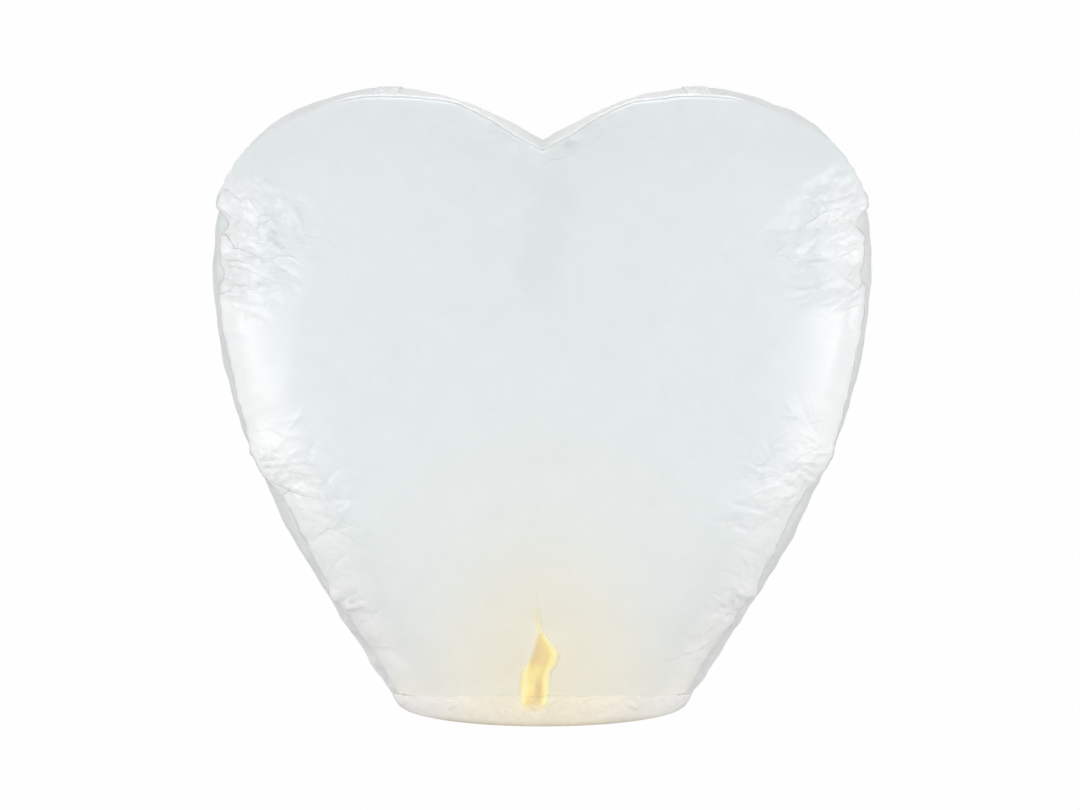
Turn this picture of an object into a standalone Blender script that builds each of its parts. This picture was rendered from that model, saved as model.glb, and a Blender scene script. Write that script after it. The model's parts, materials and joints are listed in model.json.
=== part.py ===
"""Heart-shaped paper sky lantern, built as separate pieces.

Metres, +Z up. The mouth is centred on the world origin with the bottom fold of
the hem on z = 0. +X is right and the front panel faces -Y. The envelope is two
crowned heart-shaped panels joined all round by a side strip that bulges
outwards. A turned-up hem holds a split-bamboo hoop, two wires cross the hoop,
and a stack of waxed pads sits on the crossing. A retaining wire passes under the
crossing and up through the pads, with two upright tails above its stems.
"""
import math

import bmesh
import bpy
from mathutils import Matrix, Vector

# ------------------------------------------------------------ driving dimensions
MOUTH_RADIUS = 0.190        # outside of the hem at its bottom fold
HEM_HEIGHT = 0.0365         # turned-up hem at the middle of each panel
HEM_SIDE_HEIGHT = 0.0165    # and at the side seams, where it narrows
PAPER = 0.0005              # sheet thickness

# Crest of the side strip: the outline seen from the front, right half, (x, z)
HEM_LEAN = math.radians(34.8)       # outline leaves the hem at this lean
HEM_HANDLE = 0.264
WIDEST = (0.4355, 0.596)
WIDEST_HANDLE_BELOW = 0.214
WIDEST_HANDLE_ABOVE = 0.158
LOBE_TOP = (0.199, 0.8165)
LOBE_HANDLE_OUT = 0.109
LOBE_HANDLE_IN = 0.083
CLEFT_Z = 0.7495
CLEFT_RISE = math.radians(27.0)
CLEFT_HANDLE = 0.081
SPAN_SAMPLES = 240          # points taken along each Bezier span
NORMAL_STEP = 0.004         # share of the outline either side, for its normal

# Side strip
STRIP_HALF_WIDTH = 0.150    # half the strip's width where it is full
STRIP_FULL_Z = 0.300        # the strip widens from the mouth up to here
STRIP_OPENING = 0.75        # below 1 it opens out sooner above the mouth
STRIP_BULGE = 0.035         # how far the strip stands out past the seams
STRIP_BULGE_RUN = 0.190     # sets the length of outline over which it grows
STRIP_TIP_RUN = 0.040       # and the run over which it starts, at the mouth
STRIP_ARCH_POWER = 2.2      # shape of the bulge across the strip
STRIP_MIN_HALF = 0.0005
STRIP_FOOT_GAP = 0.0006     # above the lower corners of the panels
STRIP_FOOT_BLEND = 0.12     # share of the outline over which the level foot fades
CLEFT_BLEND = 0.100         # the strip turns upright within this far of the cleft
SEAM_GAP = 0.0006
JOIN_GAP = 0.0004           # length of outline left open each side of a lobe top
STRIP_ROWS = 6
SIDE_COLUMNS, TOP_COLUMNS, PATCH_COLUMNS = 32, 22, 4

PATCH_HALF_WIDTH = 0.016
PATCH_LIFT = 0.0011
PATCH_COVER = 0.96          # share of the strip's width

# Panels
PANEL_CROWN = 0.055         # how far a panel stands out from its seam plane
PANEL_CENTRE_Z = 0.420
PANEL_TIP_Z = -0.300        # where the heart's flanks would meet below the mouth
CROWN_POWER = 3.5
CROWN_SOFTNESS = 0.60
PANEL_SHOULDER = 0.56       # share of the outline where a panel's side turns into its top
PANEL_COLUMNS, PANEL_ROWS = 20, 15
SEAM_SAMPLES = 700
FLANK_TOP_Z = 0.42          # the table of flank widths stops here
EDGE_INSET = 5e-6           # panel edge inside the seam at the mouth
EDGE_INSET_GAIN = 2.2e-4    # and added to that where the strip is full
HEM_TOP_GAP = 0.0011        # from the hem's top edge to the panel

# Hem
HEM_INNER_R = 0.18425       # mid-surface of the hem's inner wall, inside the hoop
HEM_FLAP_R = 0.1883         # and of the same wall above the hoop
HEM_UPRIGHT_R = HEM_INNER_R + 0.001     # nothing inside this radius leans
HEM_PLAIN_Z = 0.0100        # the hem is the same all round below this
HEM_END_GAP = 0.0006
HEM_STEPS = 30
SLIT_SIZE = (0.0036, 0.0024, 0.0028)    # radial, along the wall, height

# Split-bamboo hoop
HOOP_OUTER_R = 0.1878
HOOP_THICK = 0.0018
HOOP_Z0, HOOP_Z1 = 0.0022, 0.0087
HOOP_STEPS = 72

# Wires and bindings
WIRE_R = 0.0004
WIRE_CLEAR = 0.0003
WIRE_ANGLE = math.radians(33.5)     # each cross wire, from the front-back line
WIRE_SPAN_Z = 0.0050                # height where a cross wire meets the hoop
WIRE_MID_Z = {"a": 0.0021, "b": 0.0032}     # height of each at the crossing
WIRE_SIGN = {"a": 1, "b": -1}
WIRE_NEAR_R = 0.040                 # first point out from the crossing
WIRE_TURN_RUN = 0.0006              # bend from the span up the hoop's inner face
WIRE_TURN_DROP = 0.0002
WIRE_TURN_RISE = 0.0005
WIRE_PITCH = 0.0020
LOOP_CHAMFER = 0.00045              # corner cut of a turn round the hoop
LOOP_END_DROP = 0.001               # a loop ends this far below the hoop's top

BINDING_R = 0.00025
BINDING_ANGLES = (-7.0, 7.0)        # degrees from +X
BINDING_TURNS = 3
BINDING_PITCH = 0.0010
BINDING_TUCK = 0.00012              # closer to the hoop than the cross wires
BINDING_START_TUCK = 0.00015
BINDING_START_RISE = 0.001

STEM_X = 0.004
RETAINER_Z = 0.0010
RETAINER_CHAMFER = 0.0007
STEM_TOP_Z = 0.0149
TAIL_HINGE_Z = 0.0156
TAIL_START = 0.0003
TAIL_LENGTH = 0.0150

# Waxed pads
PAD_SIDE = 0.066
PAD_SIDE_STEP = 0.0008      # every second pad is smaller by this
PAD_THICK = 0.0024
PAD_GAP = 0.0002
PAD_COUNT = 4
PAD_Z0 = 0.0046
PAD_EDGE = 0.0005
PAD_HOLE_R = 0.006
PAD_HOLE_DEPTH = 0.03
PAD_HOLE_RISE = 0.005       # centre of the hole cutter above the lowest pad's base

# ---------------------------------------------------------------------- finishes
WHITE_PAPER = dict(colour=(0.80, 0.82, 0.82), roughness=0.55)
PATCH_PAPER = dict(colour=(0.76, 0.78, 0.77), roughness=0.60)
HEM_PAPER = dict(colour=(0.83, 0.82, 0.76), roughness=0.60)
BAMBOO = dict(colour=(0.60, 0.43, 0.22), roughness=0.55)
STEEL = dict(colour=(0.46, 0.46, 0.45), roughness=0.38, metallic=0.9)
BINDING = dict(colour=(0.72, 0.69, 0.62), roughness=0.75)
WAXED_PAD = dict(colour=(0.74, 0.66, 0.50), roughness=0.45)

# ------------------------------------------------------------------- empty scene
for old in list(bpy.data.objects):
    bpy.data.objects.remove(old, do_unlink=True)


def collection(name):
    made = bpy.data.collections.new(name)
    bpy.context.scene.collection.children.link(made)
    return made


parts = collection("sky_lantern")
cutters = collection("cutters")


# ---------------------------------------------------------------- object helpers
def material(name, colour, roughness, metallic=0.0):
    made = bpy.data.materials.new(name)
    made.use_nodes = True
    shader = made.node_tree.nodes["Principled BSDF"]
    shader.inputs["Base Color"].default_value = (*colour, 1.0)
    shader.inputs["Roughness"].default_value = roughness
    shader.inputs["Metallic"].default_value = metallic
    made.diffuse_color = (*colour, 1.0)
    return made


def empty(name, location=(0, 0, 0)):
    made = bpy.data.objects.new(name, None)
    made.empty_display_size = 0.02
    made.location = location
    parts.objects.link(made)
    return made


def add(name, data, finish, parent=None, location=(0, 0, 0)):
    obj = bpy.data.objects.new(name, data)
    parts.objects.link(obj)
    data.materials.append(material(name + "_finish", **finish))
    obj.location = location
    obj.parent = parent
    return obj


def to_mesh(name, build):
    """Turn a bmesh into a mesh and free it."""
    mesh = bpy.data.meshes.new(name)
    build.to_mesh(mesh)
    build.free()
    return mesh


def mapped_grid(name, columns, rows, place):
    """A grid whose points are placed by a function of two numbers in -1..1."""
    build = bmesh.new()
    bmesh.ops.create_grid(build, x_segments=columns, y_segments=rows, size=1.0)
    for vert in build.verts:
        vert.co = place(vert.co.x, vert.co.y)
    bmesh.ops.recalc_face_normals(build, faces=build.faces)
    return to_mesh(name, build)


def add_paper(name, mesh, finish, parent=None):
    """A smooth-shaded surface thickened evenly to both sides."""
    obj = add(name, mesh, finish, parent)
    for poly in mesh.polygons:
        poly.use_smooth = True
    sheet = obj.modifiers.new("sheet", "SOLIDIFY")
    sheet.thickness = PAPER
    sheet.offset = 0.0
    sheet.use_even_offset = True
    sheet.use_quality_normals = True
    return obj


def as_cutter(name):
    """Make the primitive just added a hidden cutter."""
    cutter = bpy.context.object
    cutter.name = name
    for owner in list(cutter.users_collection):
        owner.objects.unlink(cutter)
    cutters.objects.link(cutter)
    cutter.display_type = "WIRE"
    cutter.hide_render = True
    return cutter


def subtract(obj, name, cutter):
    cut = obj.modifiers.new(name, "BOOLEAN")
    cut.operation = "DIFFERENCE"
    cut.solver = "EXACT"
    cut.object = cutter


# ------------------------------------------------------------- outline functions
def smooth(value):
    value = min(1.0, max(0.0, value))
    return value * value * (3.0 - 2.0 * value)


def lerp(start, stop, share):
    return start + (stop - start) * share


def bezier(points, share):
    rest = 1.0 - share
    weights = (rest ** 3, 3 * rest * rest * share, 3 * rest * share * share, share ** 3)
    return tuple(sum(w * point[axis] for w, point in zip(weights, points)) for axis in (0, 1))


def read_table(keys, values, key):
    """Straight-line reading of a table whose keys increase."""
    low, high = 0, len(keys) - 1
    if key <= keys[0]:
        return values[0]
    if key >= keys[-1]:
        return values[-1]
    while high - low > 1:
        middle = (low + high) // 2
        if keys[middle] <= key:
            low = middle
        else:
            high = middle
    return lerp(values[low], values[high], (key - keys[low]) / (keys[high] - keys[low]))


# Bezier control points (x, z): mouth to widest, to lobe top, to cleft
CREST_SPANS = (
    ((MOUTH_RADIUS, 0.0),
     (MOUTH_RADIUS + HEM_HANDLE * math.sin(HEM_LEAN), HEM_HANDLE * math.cos(HEM_LEAN)),
     (WIDEST[0], WIDEST[1] - WIDEST_HANDLE_BELOW), WIDEST),
    (WIDEST, (WIDEST[0], WIDEST[1] + WIDEST_HANDLE_ABOVE),
     (LOBE_TOP[0] + LOBE_HANDLE_OUT, LOBE_TOP[1]), LOBE_TOP),
    (LOBE_TOP, (LOBE_TOP[0] - LOBE_HANDLE_IN, LOBE_TOP[1]),
     (CLEFT_HANDLE * math.cos(CLEFT_RISE), CLEFT_Z + CLEFT_HANDLE * math.sin(CLEFT_RISE)),
     (0.0, CLEFT_Z)),
)
crest_points = [CREST_SPANS[0][0]]
for span in CREST_SPANS:
    crest_points += [bezier(span, (i + 1) / SPAN_SAMPLES) for i in range(SPAN_SAMPLES)]
CREST_X, CREST_Z = zip(*crest_points)
CREST_RUN = [0.0]
for here, after in zip(crest_points, crest_points[1:]):
    CREST_RUN.append(CREST_RUN[-1] + math.hypot(after[0] - here[0], after[1] - here[1]))
OUTLINE_LENGTH = CREST_RUN[-1]
LOBE_SHARE = CREST_RUN[2 * SPAN_SAMPLES] / OUTLINE_LENGTH


def crest(share):
    """Point (x, z) at a share of the outline: 0 at the mouth, 1 at the cleft."""
    run = share * OUTLINE_LENGTH
    return read_table(CREST_RUN, CREST_X, run), read_table(CREST_RUN, CREST_Z, run)


def outward(share):
    """Unit normal of the crest in the X-Z plane, turned upright at the cleft."""
    before = crest(max(0.0, share - NORMAL_STEP))
    after = crest(min(1.0, share + NORMAL_STEP))
    along_x, along_z = after[0] - before[0], after[1] - before[1]
    length = math.hypot(along_x, along_z)
    normal_x, normal_z = along_z / length, -along_x / length
    if share > LOBE_SHARE:
        normal_x *= smooth(crest(share)[0] / CLEFT_BLEND)
    length = math.hypot(normal_x, normal_z)
    return normal_x / length, normal_z / length


def bulge(share):
    run = share * OUTLINE_LENGTH
    growth = smooth(run / STRIP_BULGE_RUN * 0.5) ** 0.5
    return STRIP_BULGE * growth * smooth(run / STRIP_TIP_RUN)


def seam(share, inset=0.0):
    x, z = crest(share)
    normal_x, normal_z = outward(share)
    depth = bulge(share) + inset
    return max(0.0, x - normal_x * depth), z - normal_z * depth


def rise(z):
    """How far the strip has opened at a height: 0 at the mouth, 1 where full."""
    return smooth(z / STRIP_FULL_Z) ** STRIP_OPENING


seam_points = [seam(i / SEAM_SAMPLES) for i in range(SEAM_SAMPLES + 1)]
FLANK_X, FLANK_Z = zip(*[point for point in seam_points if point[1] <= FLANK_TOP_Z])

# The seam as (angle, radius) about the panel centre, closed by the tip
POLAR_ANGLE, POLAR_RADIUS = zip(*sorted(
    [(math.atan2(z - PANEL_CENTRE_Z, x), math.hypot(x, z - PANEL_CENTRE_Z))
     for x, z in seam_points]
    + [(-math.pi / 2, PANEL_CENTRE_Z - PANEL_TIP_Z)]
))


def share_at_height(target_z):
    """Share of the outline where the seam's flank reaches a height."""
    low, high = 0.0, 0.4
    for _ in range(40):
        middle = (low + high) / 2
        if seam(middle)[1] < target_z:
            low = middle
        else:
            high = middle
    return (low + high) / 2


def hem_height(turn):
    """Height of the hem at an angle from the middle of its panel."""
    return HEM_SIDE_HEIGHT + (HEM_HEIGHT - HEM_SIDE_HEIGHT) * max(0.0, math.cos(turn))


# ----------------------------------------------------------------- paper panels
PANEL_Z0 = HEM_HEIGHT + HEM_TOP_GAP
CORNER_Z = HEM_SIDE_HEIGHT + HEM_TOP_GAP
CORNER_SHARE = share_at_height(CORNER_Z)


def panel_depth(x, z):
    """How far a panel stands from the middle plane at (x, z)."""
    x = abs(x)
    opening = rise(z)
    half_width = read_table(FLANK_Z, FLANK_X, z)
    ring = 0.0
    if opening < 1.0:
        ring = MOUTH_RADIUS * math.sqrt(max(0.0, 1.0 - (x / half_width) ** 2))
    angle = math.atan2(z - PANEL_CENTRE_Z, x)
    seam_radius = read_table(POLAR_ANGLE, POLAR_RADIUS, angle)
    reach = math.hypot(x, z - PANEL_CENTRE_Z) / seam_radius
    crown = PANEL_CROWN * max(0.0, 1.0 - reach ** CROWN_POWER) ** CROWN_SOFTNESS
    return (1.0 - opening) * ring + opening * (STRIP_HALF_WIDTH + crown)


def panel_edge(share):
    """Panel edge, kept a little inside the seam."""
    opening = rise(seam(share)[1])
    return seam(share, inset=EDGE_INSET + EDGE_INSET_GAIN * opening * opening)


def panel_plan(side, up):
    """Four-sided patch (x, z) of a panel's right half: side runs from the centre
    line to the seam, up from the hem to the top, both 0..1."""
    turn = side * math.pi / 2
    foot_z = hem_height(turn) + HEM_TOP_GAP
    foot_x = (read_table(FLANK_Z, FLANK_X, foot_z) - EDGE_INSET) * math.sin(turn)
    bottom = (foot_x, foot_z)
    top = panel_edge(1.0 - (1.0 - PANEL_SHOULDER) * side)
    centre_foot = (0.0, PANEL_Z0)
    notch = (0.0, panel_edge(1.0)[1])
    left = (0.0, lerp(PANEL_Z0, notch[1], up))
    right = panel_edge(lerp(CORNER_SHARE, PANEL_SHOULDER, up))
    corner = panel_edge(CORNER_SHARE)
    shoulder = panel_edge(PANEL_SHOULDER)
    across = lerp(math.sin(turn), side, up)
    plan = []
    for i in (0, 1):
        ruled = ((1 - up) * bottom[i] + up * top[i]
                 + (1 - across) * left[i] + across * right[i])
        corners = ((1 - up) * ((1 - across) * centre_foot[i] + across * corner[i])
                   + up * ((1 - across) * notch[i] + across * shoulder[i]))
        plan.append(ruled - corners)
    return plan


def panel_place(across, along):
    x, z = panel_plan(abs(across), (along + 1) / 2)
    return Vector((math.copysign(x, across), -panel_depth(x, z), z))


# The back panel is the front one turned half round
for side, heading in (("front", 0.0), ("back", math.pi)):
    name = side + "_panel"
    mesh = mapped_grid(name, PANEL_COLUMNS, PANEL_ROWS, panel_place)
    panel = add_paper(name, mesh, WHITE_PAPER, parent=empty(name + "_body"))
    panel.rotation_euler = (0, 0, heading)

# ------------------------------------------------------------------ side strip
STRIP_Z0 = CORNER_Z + STRIP_FOOT_GAP
STRIP_START = share_at_height(STRIP_Z0)
CREST_START = next(run for run, z in zip(CREST_RUN, CREST_Z) if z >= STRIP_Z0) / OUTLINE_LENGTH
JOIN_SHARE = JOIN_GAP / OUTLINE_LENGTH


def strip_point(share, across, lift):
    """Point on the right half's strip; across runs -1..1 from front to back seam."""
    seam_x, seam_z = seam(share)
    # the strip's lower end is cut level, so its crest starts further up the outline
    fade = 1.0 - smooth((share - STRIP_START) / STRIP_FOOT_BLEND)
    crest_x, crest_z = crest(share + (CREST_START - STRIP_START) * fade)
    normal_x, normal_z = outward(share)
    arch = 1.0 - abs(across) ** STRIP_ARCH_POWER
    half = max(STRIP_MIN_HALF, STRIP_HALF_WIDTH * rise(seam_z) - SEAM_GAP)
    return (seam_x + (crest_x - seam_x) * arch + normal_x * lift,
            half * across,
            seam_z + (crest_z - seam_z) * arch + normal_z * lift)


def add_strip(name, columns, share_at, x_sign_at, finish=WHITE_PAPER, cover=1.0, lift=0.0):
    """A length of strip; share_at and x_sign_at are functions of -1..1 along it."""
    def place(along, across):
        x, y, z = strip_point(share_at(along), across * cover, lift)
        return Vector((x_sign_at(along) * x, y, z))
    add_paper(name, mapped_grid(name, columns, STRIP_ROWS, place), finish)


def side_share(along):
    return lerp(STRIP_START, LOBE_SHARE - JOIN_SHARE, (along + 1) / 2)


def top_share(along):
    return lerp(1.0, LOBE_SHARE + JOIN_SHARE, abs(along))


def patch_share(along):
    return LOBE_SHARE + along * PATCH_HALF_WIDTH / OUTLINE_LENGTH


# Side lengths, the top length over both lobes, and a patch over each join
add_strip("gusset_top", TOP_COLUMNS, top_share, lambda along: math.copysign(1.0, along))
for side, x_sign in (("right", 1), ("left", -1)):
    add_strip("gusset_" + side, SIDE_COLUMNS, side_share, lambda along: x_sign)
    add_strip("join_patch_" + side, PATCH_COLUMNS, patch_share, lambda along: x_sign,
              PATCH_PAPER, PATCH_COVER, PATCH_LIFT)

# ------------------------------------------------------------------------- hem
# Each half is the bottom edge of a panel, turned in under the hoop and up inside
HEM_FLARE = (read_table(CREST_Z[:SPAN_SAMPLES], CREST_X[:SPAN_SAMPLES], HEM_HEIGHT)
             / MOUTH_RADIUS - 1.0)
HEM_OUTER_R = MOUTH_RADIUS - PAPER / 2
# (radius, z) of the mid-surface: down the outside, under the hoop, up the inside
HEM_PROFILE = (
    (HEM_OUTER_R, HEM_HEIGHT), (HEM_OUTER_R, 0.018), (HEM_OUTER_R, PAPER / 2),
    (HEM_INNER_R, PAPER / 2), (HEM_INNER_R, 0.012), (HEM_FLAP_R, 0.020),
    (HEM_FLAP_R, HEM_HEIGHT),
)


def hem_mesh(name, turn):
    build = bmesh.new()
    verts = [build.verts.new((radius, 0.0, z)) for radius, z in HEM_PROFILE]
    edges = [build.edges.new(pair) for pair in zip(verts, verts[1:])]
    gap = HEM_END_GAP / MOUTH_RADIUS
    bmesh.ops.rotate(build, verts=build.verts, cent=(0, 0, 0),
                     matrix=Matrix.Rotation(turn + gap, 3, "Z"))
    bmesh.ops.spin(build, geom=verts + edges, cent=(0, 0, 0), axis=(0, 0, 1),
                   angle=math.pi - 2 * gap, steps=HEM_STEPS, use_duplicate=False)
    # both walls get lower towards the side seams
    for vert in build.verts:
        if vert.co.z > HEM_PLAIN_Z:
            height = hem_height(math.atan2(vert.co.x, abs(vert.co.y)))
            vert.co.z = HEM_PLAIN_Z + ((vert.co.z - HEM_PLAIN_Z)
                                       * (height - HEM_PLAIN_Z) / (HEM_HEIGHT - HEM_PLAIN_Z))
    # the sheet leans outwards at the sides; the wall inside the hoop stays upright
    for vert in build.verts:
        if math.hypot(vert.co.x, vert.co.y) > HEM_UPRIGHT_R:
            vert.co.x *= 1.0 + HEM_FLARE * max(0.0, vert.co.z) / HEM_HEIGHT
    bmesh.ops.recalc_face_normals(build, faces=build.faces)
    return to_mesh(name, build)


def wire_direction(sign, end):
    """Unit vector to a cross wire's end: -1 is the front end, +1 the rear."""
    return Vector((-sign * end * math.sin(WIRE_ANGLE), end * math.cos(WIRE_ANGLE), 0.0))


def add_slit(hem, side, tag, direction):
    """Slit where a cross wire comes through the hem's inner wall."""
    bpy.ops.mesh.primitive_cube_add(size=1.0)
    slit = as_cutter("slit_" + side + "_" + tag)
    slit.scale = SLIT_SIZE
    slit.location = direction * HEM_INNER_R + Vector((0, 0, WIRE_SPAN_Z))
    slit.rotation_euler = (0, 0, math.atan2(direction.y, direction.x))
    subtract(hem, "slit_" + tag, slit)


for side, turn, end in (("front", math.pi, -1), ("back", 0.0, 1)):
    hem = add_paper("hem_" + side, hem_mesh("hem_" + side, turn), HEM_PAPER)
    for tag, sign in WIRE_SIGN.items():
        add_slit(hem, side, tag, wire_direction(sign, end))

# ------------------------------------------------------------------ bamboo hoop
HOOP_INNER_R = HOOP_OUTER_R - HOOP_THICK


def add_hoop():
    """A rectangular section turned about Z."""
    build = bmesh.new()
    section = [build.verts.new((radius, 0.0, z)) for radius, z in
               ((HOOP_INNER_R, HOOP_Z0), (HOOP_OUTER_R, HOOP_Z0),
                (HOOP_OUTER_R, HOOP_Z1), (HOOP_INNER_R, HOOP_Z1))]
    for i in range(4):
        build.edges.new((section[i], section[(i + 1) % 4]))
    hoop = add("bamboo_hoop", to_mesh("bamboo_hoop", build), BAMBOO)
    turned = hoop.modifiers.new("turned", "SCREW")
    turned.axis = "Z"
    turned.angle = 2 * math.pi
    turned.steps = HOOP_STEPS
    turned.render_steps = HOOP_STEPS
    turned.use_merge_vertices = True
    turned.merge_threshold = 1e-5
    turned.use_normal_flip = True


add_hoop()

# ------------------------------------------------------------------------ wires
# Centre line of a cross wire lying against each face of the hoop
LOOP_INNER_R = HOOP_INNER_R - WIRE_CLEAR - WIRE_R
LOOP_OUTER_R = HOOP_OUTER_R + WIRE_CLEAR + WIRE_R
LOOP_TOP_Z = HOOP_Z1 + WIRE_CLEAR + WIRE_R
LOOP_LOW_Z = HOOP_Z0 - WIRE_CLEAR - WIRE_R


def add_wire(name, points, radius=WIRE_R, finish=STEEL, parent=None):
    curve = bpy.data.curves.new(name, "CURVE")
    curve.dimensions = "3D"
    curve.bevel_depth = radius
    curve.bevel_resolution = 2
    curve.use_fill_caps = True
    curve.resolution_u = 1
    spline = curve.splines.new("POLY")
    spline.points.add(len(points) - 1)
    for point, position in zip(spline.points, points):
        point.co = (*position, 1.0)
    add(name, curve, finish, parent)


def hoop_loop(direction, turns, pitch, tuck=0.0):
    """Points of square turns round the hoop, starting on its inner face and
    creeping along the hoop by pitch each turn; tuck draws them in to the hoop."""
    along = Vector((-direction.y, direction.x, 0.0))
    inner, outer = LOOP_INNER_R + tuck, LOOP_OUTER_R - tuck
    top, low = LOOP_TOP_Z - tuck, LOOP_LOW_Z + tuck
    cut = LOOP_CHAMFER
    # radius, z, share of the pitch
    corners = (
        (inner, top - cut, 0.10), (inner + cut, top, 0.16),
        (outer - cut, top, 0.34), (outer, top - cut, 0.40),
        (outer, low + cut, 0.60), (outer - cut, low, 0.66),
        (inner + cut, low, 0.84), (inner, low + cut, 0.90),
    )
    points = [direction * radius + along * ((i + share) * pitch) + Vector((0, 0, z))
              for i in range(turns) for radius, z, share in corners]
    points.append(direction * inner + along * (turns * pitch)
                  + Vector((0, 0, HOOP_Z1 - LOOP_END_DROP)))
    return points


def cross_wire_end(direction, mid_z):
    """Half a cross wire, from near the crossing out and once round the hoop."""
    near_z = lerp(mid_z, WIRE_SPAN_Z, WIRE_NEAR_R / LOOP_INNER_R)
    run = [
        direction * radius + Vector((0, 0, z)) for radius, z in
        ((WIRE_NEAR_R, near_z),
         (LOOP_INNER_R - WIRE_TURN_RUN, WIRE_SPAN_Z - WIRE_TURN_DROP),
         (LOOP_INNER_R, WIRE_SPAN_Z + WIRE_TURN_RISE))
    ]
    return run + hoop_loop(direction, 1, WIRE_PITCH)


for tag, sign in WIRE_SIGN.items():
    mid_z = WIRE_MID_Z[tag]
    front, rear = (cross_wire_end(wire_direction(sign, end), mid_z) for end in (-1, 1))
    add_wire("cross_wire_" + tag, front[::-1] + [Vector((0, 0, mid_z))] + rear)

# Two bindings side by side on the right of the hoop
for i, degrees in enumerate(BINDING_ANGLES):
    angle = math.radians(degrees)
    direction = Vector((math.cos(angle), math.sin(angle), 0.0))
    start = (direction * (LOOP_INNER_R + BINDING_START_TUCK)
             + Vector((0, 0, HOOP_Z0 + BINDING_START_RISE)))
    turns = hoop_loop(direction, BINDING_TURNS, BINDING_PITCH, BINDING_TUCK)
    add_wire("hoop_binding_%d" % (i + 1), [start] + turns, BINDING_R, BINDING)

# The retainer is a U, listed here from the middle of its base up the right stem
retainer_half = [
    (STEM_X - RETAINER_CHAMFER, 0, RETAINER_Z),
    (STEM_X, 0, RETAINER_Z + RETAINER_CHAMFER),
    (STEM_X, 0, STEM_TOP_Z),
]
add_wire("retainer_wire", [(-x, y, z) for x, y, z in reversed(retainer_half)] + retainer_half)

for side, sign in (("left", -1), ("right", 1)):
    hinge = empty("wire_tail_%s_hinge" % side, (sign * STEM_X, 0, TAIL_HINGE_Z))
    add_wire("wire_tail_" + side,
             [(0, 0, z) for z in (TAIL_START, TAIL_LENGTH / 2, TAIL_LENGTH)], parent=hinge)


# ------------------------------------------------------------------- waxed pads
def add_pad(index, seat, hole):
    build = bmesh.new()
    bmesh.ops.create_cube(build, size=1.0)
    side = PAD_SIDE - PAD_SIDE_STEP * (index % 2)
    bmesh.ops.scale(build, vec=(side, side, PAD_THICK), verts=build.verts)
    name = "fuel_pad_%d" % (index + 1)
    pad = add(name, to_mesh(name, build), WAXED_PAD, parent=seat,
              location=(0, 0, PAD_THICK / 2 + index * (PAD_THICK + PAD_GAP)))
    edge = pad.modifiers.new("soft_edge", "BEVEL")
    edge.width = PAD_EDGE
    edge.segments = 1
    edge.limit_method = "ANGLE"
    subtract(pad, "hole", hole)


seat = empty("fuel_cell_seat", (0, 0, PAD_Z0))
bpy.ops.mesh.primitive_cylinder_add(vertices=24, radius=PAD_HOLE_R, depth=PAD_HOLE_DEPTH,
                                    location=(0, 0, PAD_Z0 + PAD_HOLE_RISE))
hole = as_cutter("pad_hole")
for i in range(PAD_COUNT):
    add_pad(i, seat, hole)
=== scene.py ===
"""Heart-shaped paper sky lantern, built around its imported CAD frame.

The heart stands in the X-Z plane, its front towards -Y and its right side towards +X.
The round mouth is centred on the origin at z = 0, the widest point is near z = 0.6 and
the cleft between the two lobes is at the top. A front and a back sheet of tissue are
joined by side strips; the waxed boards and the flame sit in the mouth.

Words used throughout:
  share    place along one half of the outline, 0 at the mouth, 1 at the cleft
  side     1 for the right half (+X), -1 for the left
  face     1 for the front (-Y), -1 for the back
  inset    distance inwards from the seam
  crest    the strips' outermost line, in the middle plane y = 0
"""
import json
import math

import bmesh
import bpy
import numpy as np
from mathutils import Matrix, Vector


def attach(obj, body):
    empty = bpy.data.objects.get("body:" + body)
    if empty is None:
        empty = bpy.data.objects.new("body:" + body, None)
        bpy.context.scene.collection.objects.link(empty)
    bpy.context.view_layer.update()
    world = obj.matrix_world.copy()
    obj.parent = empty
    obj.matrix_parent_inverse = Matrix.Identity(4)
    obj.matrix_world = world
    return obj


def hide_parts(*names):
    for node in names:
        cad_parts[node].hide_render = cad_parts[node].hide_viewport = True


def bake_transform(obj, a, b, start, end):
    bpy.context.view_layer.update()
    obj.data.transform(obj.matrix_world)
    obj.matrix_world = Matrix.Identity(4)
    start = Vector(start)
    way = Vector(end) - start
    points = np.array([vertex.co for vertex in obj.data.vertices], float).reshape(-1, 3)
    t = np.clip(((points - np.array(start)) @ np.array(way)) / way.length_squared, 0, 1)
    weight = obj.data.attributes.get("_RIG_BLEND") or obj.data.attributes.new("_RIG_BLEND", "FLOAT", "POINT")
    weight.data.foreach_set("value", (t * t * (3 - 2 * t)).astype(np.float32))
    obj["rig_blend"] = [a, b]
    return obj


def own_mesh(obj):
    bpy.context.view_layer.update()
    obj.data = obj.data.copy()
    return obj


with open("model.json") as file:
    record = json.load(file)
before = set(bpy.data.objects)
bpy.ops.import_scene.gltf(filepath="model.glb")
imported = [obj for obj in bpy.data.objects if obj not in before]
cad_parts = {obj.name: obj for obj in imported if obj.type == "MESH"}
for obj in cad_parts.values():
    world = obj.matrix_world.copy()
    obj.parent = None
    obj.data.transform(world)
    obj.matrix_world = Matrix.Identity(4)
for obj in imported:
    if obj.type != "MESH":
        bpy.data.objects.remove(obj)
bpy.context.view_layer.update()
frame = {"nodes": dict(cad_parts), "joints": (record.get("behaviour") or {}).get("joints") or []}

# ------------------------------------------------------------------ driving sizes
MOUTH_RADIUS = 0.190
HEM_HEIGHT, HEM_SIDE_HEIGHT = 0.0365, 0.0080              # mid panel, and at the sides
FLANK_LEAN, FLANK_HANDLE = math.radians(34.8), 0.264      # how the outline leaves the mouth
WIDEST, WIDEST_BELOW, WIDEST_ABOVE = (0.4355, 0.596), 0.214, 0.158    # point, curve handles
LOBE, LOBE_OUT, LOBE_IN = (0.199, 0.8165), 0.109, 0.083
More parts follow.
